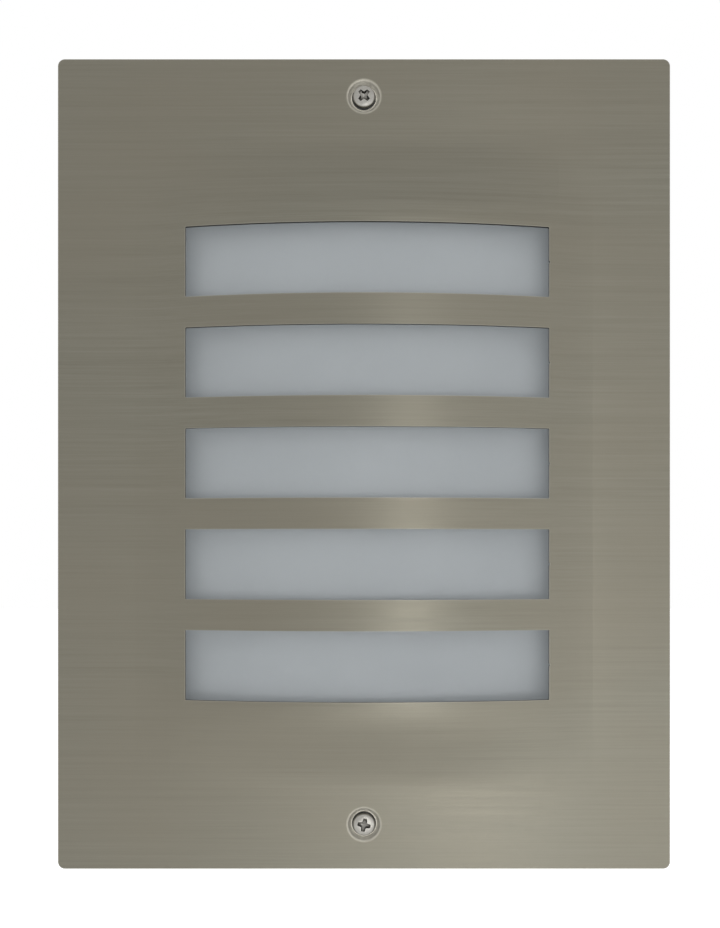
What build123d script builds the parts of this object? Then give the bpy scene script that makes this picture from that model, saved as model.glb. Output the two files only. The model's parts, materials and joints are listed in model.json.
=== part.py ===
"""Recessed step light: slotted, crowned stainless fascia over an opal diffuser, a cast recess box,
a reflector tray and a screw-in lamp.

Millimetres. +X is the right hand side seen from in front, +Z is up and the front faces -Y.
The origin is the middle of the fascia on the finished wall face, y = 0.
"""

import math
import os

from build123d import *

os.makedirs("parts", exist_ok=True)

# ---------------------------------------------------------------- driving dimensions
# fascia plate
PLATE_W = 220.0
PLATE_H = 291.0
PLATE_T = 1.2
PLATE_R = 2.5

# slots
SLOT_N = 5
SLOT_W = 130.0
SLOT_H = 25.0
SLOT_PITCH = 36.0
SLOT_SHIFT = 1.2
SLOT_R = 0.4
NICK_R = 0.35

# crown of the slotted field: a parabola in plan that runs out into flat borders
CROWN_RISE = 8.0
CROWN_RADIUS = 360.0
CROWN_PAST_SLOT_X = 5.0
CROWN_PAST_SLOT_Z = 1.5

# gaskets
WALL_GASKET_T = 2.0
WALL_GASKET_OUT = 2.0
WALL_GASKET_GAP = 0.9
RIM_GASKET_LAP = 1.2
RIM_GASKET_CLEAR = 1.2
RIM_GASKET_HOLE = 3.0
DIFF_GASKET_T = 4.0
DIFF_GASKET_W_X = 7.0
DIFF_GASKET_W_Z = 5.8

# fascia screws and their pressed dimples
SCREW_FROM_WALL = 3.3
SCREW_RAISE = 1.3
SCREW_HOLE_R = 2.25
DIMPLE_FLOOR_R = 4.7
DIMPLE_RIM_R = 5.8
DIMPLE_DEPTH = 1.7
DIMPLE_LAG = 0.6
DIMPLE_BLEND = 0.8
HEAD_R = 4.0
HEAD_H = 2.0
SHANK_R = 2.0
SHANK_L = 16.0
SHANK_FIT = 0.05
SEAL_R = 4.3
SEAL_T = 0.6
CROSS = 4.4
UPPER_TURN = 45.0
LOWER_TURN = 12.0

# diffuser
DIFF_T = 2.5
DIFF_RISE = 9.0
DIFF_RADIUS = 237.0
DIFF_SHORT_OF_SLOT = 3.0
DIFF_FADE_MARGIN = 4.0
DIFF_TO_BOX_X = 5.2
DIFF_TO_BOX_Z = 10.2
DIFF_CORNER_R = 5.0

# clamping of the diffuser
FRAME_T = 1.5
FRAME_PAST_X = 2.0
FRAME_BAND = 10.0
STUD_IN_X = 3.5
STUD_IN_Z = 2.9
STUD_R = 2.0
STUD_L = 14.0
STUD_FOOT_R = 2.75
STUD_FOOT_T = 0.7
STUD_PAD_R = 4.0
FRAME_WASHER_R = 4.5
FRAME_WASHER_T = 0.8
NUT_AF = 7.0
NUT_H = 3.2

# recess box
PLATE_OVER_X = 12.0
PLATE_OVER_Z = 8.5
BOX_DEPTH = 92.0
BOX_WALL = 2.8
BOX_R = 8.0
BOX_BACK_R = 4.0
RIB_H = 1.5
RIB_W = 3.0
RIB_DRAFT = 15.0
RIB_FROM_FRONT = 30.0
RIB_FROM_BACK = 9.0
PILLAR_R = 4.7
PILLAR_FRONT = 3.6
PILLAR_L = 22.4
PILLAR_BLIND = 4.0
INSERT_R = 2.8
INSERT_L = 10.0
FIX_IN_X = 34.0
FIX_IN_Z = 41.0
FIX_R = 2.6
FIX_PAD_R = 7.0
FIX_PAD_T = 1.2
ENTRY_IN_X = 48.0
ENTRY_IN_Y = 27.2
ENTRY_R = 10.2
BOSS_R = 4.6

# reflector tray
TRAY_FRONT = 16.0
TRAY_STAND = 7.2
TRAY_IN_X = 6.0
TRAY_IN_TOP = 18.2
TRAY_BELOW_HOLDER = 14.0
TRAY_T = 1.0
TRAY_TAPER = 10.0
TRAY_LIP = 4.0
TRAY_CORNER_R = 14.0
TRAY_SCREW_IN_X = 36.0
TRAY_SCREW_IN_Z = 38.0
ACCESS_R = 6.0

# plain fixings
M4_R = 2.0
M4_HEAD_R = 3.8
M4_HEAD_H = 2.2
M4_CROSS = 4.0
M3_R = 1.5
M3_HEAD_R = 2.8
M3_HEAD_H = 1.8
HOLE_EASE = 0.25
THREAD_HOLD = 6.5
M4_HOLD = 8.0
M3_HOLD = 6.0

# lampholder and lamp
LAMP_FROM_BACK = 43.2
HOLDER_STAND = 42.2
HOLDER_R = 22.0
HOLDER_H = 46.0
HOLDER_WAIST = 1.5
HOLDER_FOOT = 20.0
HOLDER_RIM = 6.0
HOLDER_GAP = 1.5
CAVITY_R = 14.4
CAVITY_UP = 19.0
SHELL_T = 0.7
SHELL_UP = 2.0
BRACKET_T = 1.5
BRACKET_HALF_W = 19.0
BRACKET_REACH = 20.0
BRACKET_STAND = 9.2
BRACKET_H = 28.0
BRACKET_CORNER_R = 5.0
BRACKET_SCREW_X = 11.0
BRACKET_SCREW_UP = 16.0
HOLDER_SCREW_X = 13.0
CONTACT_T = 0.5
CONTACT_HALF_W = 3.0
CAP_R = 13.2
CAP_T = 0.5
CAP_GAP = 5.5
CAP_PROUD = 1.0
COLLAR_H = 35.0
COLLAR_T = 2.0
COLLAR_PLUG = 8.0
GLOBE_UP = 16.0
GLOBE_R = 30.0
GLOBE_T = 1.5
BOARD_T = 1.6

# wiring
LEAD_R = 1.1
POLE_GAP = 4.0
POLE_PITCH = 12.0
BLOCK_END = 6.0
BLOCK_UP = 16.2
BLOCK_H = 20.0
BLOCK_T = 16.5
BLOCK_STAND = 5.2
BLOCK_FOOT_T = 4.0
BLOCK_TOWER_W = 8.4
SLEEVE_STAND = 13.2
SLEEVE_HALF = 2.5
SLEEVE_IN = 1.0
POLE_SCREW_DZ = 5.0
POLE_SCREW_R = 1.5
POLE_SCREW_SUNK = 1.2
POLE_WELL_R = 2.2
BLOCK_HEAD_R = 1.75
BLOCK_HEAD_H = 1.6
EARTH_X = -40.0
EARTH_PAD_R = 5.5
EARTH_STAND = 7.2
LUG_T = 0.8
LUG_R = 4.4
LUG_BARREL_R = 2.1
LUG_BARREL_NEAR = 5.0
LUG_BARREL_FAR = 10.0
EARTH_RUN_UP = 7.2

# cable entries
THREAD_R = 10.0
ENTRY_WASHER_R = 14.5
ENTRY_WASHER_T = 1.2
LOCKNUT_AF = 26.0
LOCKNUT_H = 5.0
THREAD_PAST = 2.0
GLAND_AF = 24.0
GLAND_HEX_H = 7.0
GLAND_BORE_R = 7.0
GLAND_NOSE_R = 10.5
GLAND_NOSE_H = 6.0
SEAL_BORE_R = 4.2
SEAL_OUT_R = 8.0
SEAL_LOW = 3.0
DOME_END_T = 3.0
DOME_GAP = 0.5
DOME_MOUTH_R = 6.2
PLUG_R = 13.5
PLUG_FLANGE_T = 4.0

# ---------------------------------------------------------------- derived positions
PLATE_REAR = -WALL_GASKET_T
PLATE_FRONT = PLATE_REAR - PLATE_T
SLOT_Z = [(SLOT_N - 1) * SLOT_PITCH / 2 - i * SLOT_PITCH for i in range(SLOT_N)]
SLOT_FIELD = SLOT_Z[0] + SLOT_H / 2

BOX_HALF_W = PLATE_W / 2 - PLATE_OVER_X
BOX_HALF_H = PLATE_H / 2 - PLATE_OVER_Z
INSIDE_W = BOX_HALF_W - BOX_WALL
INSIDE_H = BOX_HALF_H - BOX_WALL
INSIDE_BACK = BOX_DEPTH - BOX_WALL
RIB_Y = (RIB_FROM_FRONT, BOX_DEPTH - RIB_FROM_BACK)
PILLAR_BACK = PILLAR_FRONT + PILLAR_L
INSERT_BORE_R = SHANK_R + SHANK_FIT
SCREW_Z = INSIDE_H - SCREW_FROM_WALL
SCREW_UPPER = (0, SCREW_RAISE + SCREW_Z)
SCREW_LOWER = (0, SCREW_RAISE - SCREW_Z)
SCREWS = [SCREW_UPPER, SCREW_LOWER]
FIX_X = BOX_HALF_W - FIX_IN_X
FIX_Z = BOX_HALF_H - FIX_IN_Z
FIXINGS = [(x, z) for z in (-FIX_Z, FIX_Z) for x in (-FIX_X, FIX_X)]

WALL_GASKET_IN_X = BOX_HALF_W + RIB_H + WALL_GASKET_GAP
WALL_GASKET_IN_Z = BOX_HALF_H + RIB_H + WALL_GASKET_GAP
DIFF_HALF_W = INSIDE_W - DIFF_TO_BOX_X
DIFF_HALF_H = INSIDE_H - DIFF_TO_BOX_Z
DIFF_GASKET_IN_X = DIFF_HALF_W - DIFF_GASKET_W_X
DIFF_GASKET_IN_Z = DIFF_HALF_H - DIFF_GASKET_W_Z
CROWN_HALF = SLOT_W / 2 + CROWN_PAST_SLOT_X
CROWN_FULL_Z = SLOT_FIELD + CROWN_PAST_SLOT_Z
CROWN_END_Z = DIFF_GASKET_IN_Z - 0.2
DIFF_HALF = SLOT_W / 2 - DIFF_SHORT_OF_SLOT
DIFF_END_Z = CROWN_END_Z - DIFF_FADE_MARGIN
DIFF_FLANGE_FRONT = PLATE_REAR + DIFF_GASKET_T
FRAME_FRONT = DIFF_FLANGE_FRONT + DIFF_T
FRAME_REAR = FRAME_FRONT + FRAME_T
FRAME_NUT_FACE = FRAME_REAR + FRAME_WASHER_T
STUD_X = DIFF_HALF_W - STUD_IN_X
STUD_Z = DIFF_HALF_H - STUD_IN_Z
STUD_END = PLATE_REAR + STUD_L
STUDS = [(x, z) for z in (STUD_Z, 0.0, -STUD_Z) for x in (-STUD_X, STUD_X)]
SEAL_REAR = PLATE_FRONT + DIMPLE_DEPTH
SEAL_FRONT = SEAL_REAR - SEAL_T

LAMP_Y = INSIDE_BACK - LAMP_FROM_BACK
HOLDER_BOTTOM = HOLDER_STAND - INSIDE_H
HOLDER_TOP = HOLDER_BOTTOM + HOLDER_H
CAVITY_FLOOR = HOLDER_BOTTOM + CAVITY_UP
CAP_BOTTOM = CAVITY_FLOOR + CAP_GAP
CAP_TOP = HOLDER_TOP + CAP_PROUD
COLLAR_TOP = CAP_TOP + COLLAR_H
GLOBE_Z = COLLAR_TOP + GLOBE_UP
BRACKET_LEG_Y = INSIDE_BACK - BRACKET_STAND
BRACKET_FRONT = LAMP_Y - BRACKET_REACH
BRACKET_UNDER = HOLDER_BOTTOM - BRACKET_T
BRACKET_TOP = HOLDER_BOTTOM + BRACKET_H
BRACKET_SCREWS = [(x, HOLDER_BOTTOM + BRACKET_SCREW_UP) for x in (-BRACKET_SCREW_X, BRACKET_SCREW_X)]

TRAY_BACK = INSIDE_BACK - TRAY_STAND
TRAY_HALF_W = DIFF_HALF_W - TRAY_IN_X
TRAY_TOP = INSIDE_H - TRAY_IN_TOP
TRAY_BOTTOM = HOLDER_TOP - TRAY_BELOW_HOLDER
TRAY_MID_Z = (TRAY_TOP + TRAY_BOTTOM) / 2
TRAY_HALF_H = (TRAY_TOP - TRAY_BOTTOM) / 2
TRAY_SCREW_X = TRAY_HALF_W - TRAY_SCREW_IN_X
TRAY_SCREW_Z = (TRAY_BOTTOM + TRAY_SCREW_IN_Z, TRAY_TOP - TRAY_SCREW_IN_Z)
TRAY_SCREWS = [(x, z) for z in TRAY_SCREW_Z for x in (-TRAY_SCREW_X, TRAY_SCREW_X)]

POLE_X = [HOLDER_R + POLE_GAP + i * POLE_PITCH for i in range(3)]
POLE_Y = INSIDE_BACK - SLEEVE_STAND
BLOCK_REAR = INSIDE_BACK - BLOCK_STAND
BLOCK_FRONT = BLOCK_REAR - BLOCK_T
BLOCK_LOW = BLOCK_UP - INSIDE_H
BLOCK_MID_X = (POLE_X[0] + POLE_X[2]) / 2
BLOCK_MID_Z = BLOCK_LOW + BLOCK_H / 2
BLOCK_W = POLE_X[2] - POLE_X[0] + 2 * BLOCK_END
BLOCK_SCREWS = [(x + POLE_PITCH / 2, BLOCK_MID_Z) for x in POLE_X[:2]]
POLE_SCREWS = [(x, BLOCK_MID_Z + dz) for x in POLE_X for dz in (-POLE_SCREW_DZ, POLE_SCREW_DZ)]
EARTH_PAD_Y = INSIDE_BACK - EARTH_STAND
EARTH = (EARTH_X, BLOCK_MID_Z)
LUG_Y = EARTH_PAD_Y - LUG_BARREL_R
EARTH_RUN_Z = EARTH_RUN_UP - INSIDE_H
LIVE_ROUTE = [
    (POLE_X[0], POLE_Y, BLOCK_MID_Z + 3),
    (POLE_X[0], POLE_Y, BLOCK_MID_Z + 15),
    (POLE_X[0] - 5.6, POLE_Y - 6.4, BLOCK_MID_Z + 23.5),
    (POLE_X[0] - 13.4, POLE_Y - 15.5, BLOCK_MID_Z + 23.5),
]
NEUTRAL_ROUTE = [
    (POLE_X[1], POLE_Y, BLOCK_MID_Z + 3),
    (POLE_X[1], POLE_Y, BLOCK_MID_Z + 15),
    (POLE_X[1], POLE_Y - 10, BLOCK_MID_Z + 25),
    (POLE_X[1] - 2.5, LAMP_Y + 4, BLOCK_MID_Z + 28),
    (POLE_X[1] - 10, LAMP_Y - 4, BLOCK_MID_Z + 29),
    (POLE_X[1] - 20.5, LAMP_Y - 4.8, BLOCK_MID_Z + 29),
]
EARTH_ROUTE = [
    (POLE_X[2], POLE_Y, BLOCK_MID_Z - 4.5),
    (POLE_X[2], POLE_Y, BLOCK_MID_Z - 13),
    (POLE_X[2] - 7.5, POLE_Y + 0.3, EARTH_RUN_Z),
    (POLE_X[2] - 26, POLE_Y - 1.8, EARTH_RUN_Z - 1.6),
    (EARTH_X + 38, LUG_Y - 4.4, EARTH_RUN_Z - 1),
    (EARTH_X + 20, LUG_Y - 1.3, EARTH_RUN_Z - 1.9),
    (EARTH_X + 8, LUG_Y - 0.3, EARTH_RUN_Z - 1.3),
    (EARTH_X, LUG_Y, BLOCK_MID_Z - 14.5),
    (EARTH_X, LUG_Y, BLOCK_MID_Z - 5.5),
]

ENTRY_X = BOX_HALF_W - ENTRY_IN_X
ENTRY_Y = INSIDE_BACK - ENTRY_IN_Y
ENTRY_FACE = -BOX_HALF_H
ENTRY_INSIDE = -INSIDE_H
LOCKNUT_TOP = ENTRY_INSIDE + LOCKNUT_H
THREAD_TOP = LOCKNUT_TOP + THREAD_PAST
GLAND_HEX_TOP = ENTRY_FACE - ENTRY_WASHER_T
GLAND_HEX_LOW = GLAND_HEX_TOP - GLAND_HEX_H
NOSE_LOW = GLAND_HEX_LOW - GLAND_NOSE_H
SEAL_END = NOSE_LOW - SEAL_LOW
DOME_LOW = SEAL_END - DOME_END_T


def front(y):
    """A plane across the depth at y: local x is X, local y is Z, its normal points to the back."""
    return Plane(origin=(0, y, 0), x_dir=(-1, 0, 0), z_dir=(0, 1, 0))


def face_to_room(y):
    """A plane across the depth at y: local x is X, local y is Z, its normal points to the room."""
    return Plane(origin=(0, y, 0), x_dir=(1, 0, 0), z_dir=(0, -1, 0))


def level(z, x=0.0, y=0.0):
    """A horizontal plane through (x, y, z) whose normal points up."""
    return Plane(origin=(x, y, z), x_dir=(1, 0, 0), z_dir=(0, 0, 1))


def bow_points(k, half_w, y0, rise, radius, half):
    """Control points of one bowed line in plan: flat, blend, parabola, blend, flat."""
    edge_rise = rise - half * half / (2 * radius)
    run = edge_rise * radius / half
    xs = (-half_w, -half - 2 * run, -half - run, -half, 0.0, half, half + run, half + 2 * run, half_w)
    low = y0 - k * edge_rise
    mid = y0 - k * (rise + half * half / (2 * radius))
    return list(zip(xs, (y0, y0, y0, low, mid, low, y0, y0, y0)))


def bowed_section(z, k, half_w, y_front, thick, rise, radius, half):
    """One level section of a sheet bowed towards the room, with flat borders out to half_w."""
    with BuildSketch(Plane.XY.offset(z)) as section:
        with BuildLine():
            for y0 in (y_front, y_front + thick):
                pts = bow_points(k, half_w, y0, rise, radius, half)
                Line(pts[0], pts[1])
                for i in (1, 3, 5):
                    if k:
                        Bezier(pts[i], pts[i + 1], pts[i + 2])
                    else:
                        Line(pts[i], pts[i + 2])
                Line(pts[7], pts[8])
            for x in (-half_w, half_w):
                Line((x, y_front), (x, y_front + thick))
        make_face()
    return section.sketch


def fade_block(z0, z1, half_w, y_front, thick, rise, radius, half):
    """The length of the sheet in which the bow dies away smoothly into the flat border."""
    faces = [bowed_section(z0, 1.0, half_w, y_front, thick, rise, radius, half).face()]
    faces.append(bowed_section(z1, 0.0, half_w, y_front, thick, rise, radius, half).face())
    for y0 in (y_front, y_front + thick):
        bow = bow_points(1.0, half_w, y0, rise, radius, half)
        for i in (1, 3, 5):
            grid = []
            for x, y in bow[i : i + 3]:
                across = [(z0, y), (z0 + (z1 - z0) / 3, y), (z1 - (z1 - z0) / 3, y0), (z1, y0)]
                grid.append([Vector(x, depth, z) for z, depth in across])
            faces.append(Face.make_bezier_surface(grid))
        for xa, xb in ((bow[0][0], bow[1][0]), (bow[7][0], bow[8][0])):
            outline = Wire.make_polygon([(xa, y0, z0), (xb, y0, z0), (xb, y0, z1), (xa, y0, z1)])
            faces.append(Face(outline))
    for x in (-half_w, half_w):
        y1 = y_front + thick
        outline = Wire.make_polygon([(x, y_front, z0), (x, y1, z0), (x, y1, z1), (x, y_front, z1)])
        faces.append(Face(outline))
    block = Solid(Shell(faces))
    return block if block.volume > 0 else -block


def bowed_sheet(half_w, half_h, y_front, thick, rise, radius, half, full_z, end_z):
    """The whole bowed sheet, added to the part that is being built."""
    shape = (half_w, y_front, thick, rise, radius, half)
    extrude(bowed_section(-full_z, 1.0, *shape), amount=2 * full_z)
    for sign in (-1, 1):
        add(fade_block(sign * full_z, sign * end_z, *shape))
        extrude(bowed_section(sign * end_z, 0.0, *shape), amount=sign * (half_h - end_z))


def ring(y0, y1, half_w, half_h, in_w, in_h, r_out, r_in):
    """A rectangular ring between y0 and y1, added to the part that is being built."""
    with BuildSketch(face_to_room(y1)) as outline:
        RectangleRounded(2 * half_w, 2 * half_h, r_out)
        RectangleRounded(2 * in_w, 2 * in_h, r_in, mode=Mode.SUBTRACT)
    extrude(outline.sketch, amount=y1 - y0)


def rods(points, r, y0, y1, mode=Mode.ADD):
    """Round bars, or holes, along Y at each (x, z)."""
    with BuildSketch(face_to_room(y1)) as outline:
        with Locations(*points):
            Circle(r)
    extrude(outline.sketch, amount=y1 - y0, mode=mode)


def post(r, z0, z1, x=0.0, y=0.0, mode=Mode.ADD):
    """A round bar, or hole, along Z."""
    with BuildSketch(level(z0, x, y)) as outline:
        Circle(r)
    extrude(outline.sketch, amount=z1 - z0, mode=mode)


def cross_recess(x, z, y_top, size, width, deep, turn):
    """A tapered cross recess sunk into a screw head whose top is at y_top."""
    with BuildSketch(front(y_top)) as cross:
        with Locations((-x, z)):
            Rectangle(size, width, rotation=turn)
            Rectangle(width, size, rotation=turn)
    extrude(cross.sketch, amount=deep, taper=9, mode=Mode.SUBTRACT)


def pan_screw(points, y_under, head_r, head_h, r, length, cross, turns):
    """Pan head screws driven towards the back, added to the part that is being built."""
    y_top = y_under - head_h
    for (x, z), turn in zip(points, turns):
        with BuildSketch(level(z, x)) as profile:
            with BuildLine():
                Polyline((0, y_top), (0, y_under + length), (r - 0.35, y_under + length))
                Line((r - 0.35, y_under + length), (r, y_under + length - 0.35))
                Polyline((r, y_under + length - 0.35), (r, y_under), (head_r, y_under))
                Line((head_r, y_under), (head_r, y_under - 0.42 * head_h))
                Bezier(
                    (head_r, y_under - 0.42 * head_h),
                    (0.99 * head_r, y_top + 0.05 * head_h),
                    (0.55 * head_r, y_top),
                    (0, y_top),
                )
            make_face()
        revolve(profile.sketch, axis=Axis((x, 0, z), (0, 1, 0)))
        cross_recess(x, z, y_top, cross, 0.26 * cross, 0.62 * head_h, turn)


def nut(points, af, bore, y0, y1):
    """Hexagon nuts along Y."""
    with BuildSketch(face_to_room(y1)) as outline:
        with Locations(*points):
            RegularPolygon(af / 2, 6, major_radius=False)
            Circle(bore, mode=Mode.SUBTRACT)
    extrude(outline.sketch, amount=y1 - y0)


def hex_post(af, z0, z1, x, y):
    """A hexagonal bar along Z."""
    with BuildSketch(level(z0, x, y)) as outline:
        RegularPolygon(af / 2, 6, major_radius=False)
    extrude(outline.sketch, amount=z1 - z0)


def turned(x, y, points, mode=Mode.ADD):
    """A solid of revolution about the vertical axis through (x, y) from (r, z) corner points."""
    with BuildSketch(Plane(origin=(x, y, 0), x_dir=(1, 0, 0), z_dir=(0, -1, 0))) as profile:
        with BuildLine():
            Polyline(*points, close=True)
        make_face()
    revolve(profile.sketch, axis=Axis((x, y, 0), (0, 0, 1)), mode=mode)


def spun(x, z, points, mode=Mode.ADD):
    """A solid of revolution about the line along Y through (x, z) from (r, y) corner points."""
    with BuildSketch(level(z, x)) as profile:
        with BuildLine():
            Polyline(*points, close=True)
        make_face()
    revolve(profile.sketch, axis=Axis((x, 0, z), (0, 1, 0)), mode=mode)


def lead(name, points, r):
    """An insulated lead along straight runs joined by tangent arcs."""
    radii = []
    for a, b, c in zip(points, points[1:], points[2:]):
        into, out = Vector(b) - Vector(a), Vector(c) - Vector(b)
        turn = math.radians(into.get_angle(out))
        radii.append(0.45 * min(into.length, out.length) / math.tan(turn / 2))
    with BuildPart() as wire:
        with BuildLine() as path:
            FilletPolyline(*points, radius=radii)
        with BuildSketch(Plane(origin=points[0], z_dir=path.line % 0)):
            Circle(r)
        sweep()
    length = sum(e.length for e in path.edges())
    print(name, "length", round(length, 1), "bend radii", [round(v, 1) for v in radii])
    print(name, "volume over section times length", round(wire.part.volume / (length * math.pi * r * r), 4))
    return wire.part


def lead_hole(points, r):
    """The round socket in which a lead's last run ends, cut from the part that is being built."""
    with BuildSketch(Plane(origin=points[-1], z_dir=Vector(points[-2]) - Vector(points[-1]))) as mouth:
        Circle(r)
    extrude(mouth.sketch, amount=math.dist(points[-2], points[-1]), mode=Mode.SUBTRACT)


# ---------------------------------------------------------------- fascia
with BuildPart() as face_plate:
    bowed_sheet(
        PLATE_W / 2, PLATE_H / 2, PLATE_FRONT, PLATE_T,
        CROWN_RISE, CROWN_RADIUS, CROWN_HALF, CROWN_FULL_Z, CROWN_END_Z,
    )
    corners = [
        e for e in face_plate.edges().filter_by(Axis.Y)
        if abs(abs(e.center().X) - PLATE_W / 2) < 0.01 and abs(abs(e.center().Z) - PLATE_H / 2) < 0.01
    ]
    fillet(corners, PLATE_R)
    for x, z in SCREWS:
        rear_floor = PLATE_REAR + DIMPLE_DEPTH
        spun(x, z, (
            (0, PLATE_REAR - 0.5), (0, rear_floor), (DIMPLE_FLOOR_R + DIMPLE_LAG, rear_floor),
            (DIMPLE_RIM_R + DIMPLE_LAG, PLATE_REAR), (DIMPLE_RIM_R + DIMPLE_LAG, PLATE_REAR - 0.5),
        ))
        front_floor = PLATE_FRONT + DIMPLE_DEPTH
        spun(x, z, (
            (0, PLATE_FRONT - 1), (0, front_floor), (DIMPLE_FLOOR_R, front_floor),
            (DIMPLE_RIM_R, PLATE_FRONT), (DIMPLE_RIM_R, PLATE_FRONT - 1),
        ), Mode.SUBTRACT)
    rims = [
        e for e in face_plate.edges().filter_by(GeomType.CIRCLE)
        if abs(e.center().Y - PLATE_FRONT) < 0.01 and abs(e.radius - DIMPLE_RIM_R) < 0.01
    ]
    fillet(rims, DIMPLE_BLEND)
    rods(SCREWS, SCREW_HOLE_R, PLATE_FRONT - 1, PLATE_REAR + 2, Mode.SUBTRACT)
    with BuildSketch(face_to_room(PLATE_REAR + 1)):
        with Locations(*[(SLOT_SHIFT, z) for z in SLOT_Z]):
            RectangleRounded(SLOT_W, SLOT_H, SLOT_R)
        with Locations(*[(SLOT_SHIFT + SLOT_W / 2, z) for z in SLOT_Z]):
            Circle(NICK_R)
    extrude(amount=CROWN_RISE + PLATE_T + 4, mode=Mode.SUBTRACT)

with BuildPart() as wall_gasket:
    ring(
        PLATE_REAR, 0, PLATE_W / 2 - WALL_GASKET_OUT, PLATE_H / 2 - WALL_GASKET_OUT,
        WALL_GASKET_IN_X, WALL_GASKET_IN_Z, PLATE_R, BOX_R,
    )

with BuildPart() as rim_gasket:
    ring(
        PLATE_REAR, 0, BOX_HALF_W + RIM_GASKET_LAP, BOX_HALF_H + RIM_GASKET_LAP,
        DIFF_HALF_W + FRAME_PAST_X, DIFF_HALF_H + RIM_GASKET_CLEAR, BOX_R + RIM_GASKET_LAP, BOX_R / 2,
    )
    rods(SCREWS, DIMPLE_RIM_R + RIM_GASKET_HOLE, PLATE_REAR - 1, 1, Mode.SUBTRACT)

with BuildPart() as diffuser:
    bowed_sheet(
        DIFF_HALF_W, DIFF_HALF_H, DIFF_FLANGE_FRONT, DIFF_T,
        DIFF_RISE, DIFF_RADIUS, DIFF_HALF, CROWN_FULL_Z, DIFF_END_Z,
    )
    corners = [
        e for e in diffuser.edges().filter_by(Axis.Y)
        if abs(abs(e.center().X) - DIFF_HALF_W) < 0.01 and abs(abs(e.center().Z) - DIFF_HALF_H) < 0.01
    ]
    fillet(corners, DIFF_CORNER_R)
    rods(STUDS, STUD_R + HOLE_EASE, DIFF_FLANGE_FRONT - 1, FRAME_FRONT + 1, Mode.SUBTRACT)

with BuildPart() as diffuser_gasket:
    ring(
        PLATE_REAR, DIFF_FLANGE_FRONT, DIFF_HALF_W, DIFF_HALF_H,
        DIFF_GASKET_IN_X, DIFF_GASKET_IN_Z, DIFF_CORNER_R, 1.0,
    )
    with BuildSketch(face_to_room(DIFF_FLANGE_FRONT)) as pads:
        with Locations((-STUD_X, 0), (STUD_X, 0)):
            Circle(STUD_PAD_R)
    extrude(pads.sketch, amount=DIFF_GASKET_T)
    rods(STUDS, STUD_FOOT_R, PLATE_REAR - 1, DIFF_FLANGE_FRONT + 1, Mode.SUBTRACT)
    rods(SCREWS, DIMPLE_RIM_R + RIM_GASKET_HOLE, PLATE_REAR - 1, DIFF_FLANGE_FRONT + 1, Mode.SUBTRACT)

with BuildPart() as retaining_frame:
    ring(
        FRAME_FRONT, FRAME_REAR, DIFF_HALF_W + FRAME_PAST_X, DIFF_HALF_H,
        DIFF_HALF_W - FRAME_BAND, DIFF_HALF_H - FRAME_BAND, DIFF_CORNER_R + 1, 3.0,
    )
    rods(STUDS, STUD_R + HOLE_EASE, FRAME_FRONT - 1, FRAME_REAR + 1, Mode.SUBTRACT)

with BuildPart() as frame_studs:
    rods(STUDS, STUD_FOOT_R, PLATE_REAR, PLATE_REAR + STUD_FOOT_T)
    rods(STUDS, STUD_R, PLATE_REAR + STUD_FOOT_T, STUD_END)

with BuildPart() as frame_washers:
    rods(STUDS, FRAME_WASHER_R, FRAME_REAR, FRAME_NUT_FACE)
    rods(STUDS, STUD_R + HOLE_EASE, FRAME_REAR - 1, FRAME_NUT_FACE + 1, Mode.SUBTRACT)

with BuildPart() as frame_nuts:
    nut(STUDS, NUT_AF, STUD_R, FRAME_NUT_FACE, FRAME_NUT_FACE + NUT_H)

# ---------------------------------------------------------------- fascia screws and sealing washers
with BuildPart() as screw_upper:
    pan_screw([SCREW_UPPER], SEAL_FRONT, HEAD_R, HEAD_H, SHANK_R, SHANK_L, CROSS, [UPPER_TURN])

with BuildPart() as screw_lower:
    pan_screw([SCREW_LOWER], SEAL_FRONT, HEAD_R, HEAD_H, SHANK_R, SHANK_L, CROSS, [LOWER_TURN])

with BuildPart() as seal_washer_upper:
    rods([SCREW_UPPER], SEAL_R, SEAL_FRONT, SEAL_REAR)
    rods([SCREW_UPPER], SHANK_R + SHANK_FIT, SEAL_FRONT - 1, SEAL_REAR + 1, Mode.SUBTRACT)

with BuildPart() as seal_washer_lower:
    rods([SCREW_LOWER], SEAL_R, SEAL_FRONT, SEAL_REAR)
    rods([SCREW_LOWER], SHANK_R + SHANK_FIT, SEAL_FRONT - 1, SEAL_REAR + 1, Mode.SUBTRACT)

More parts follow.
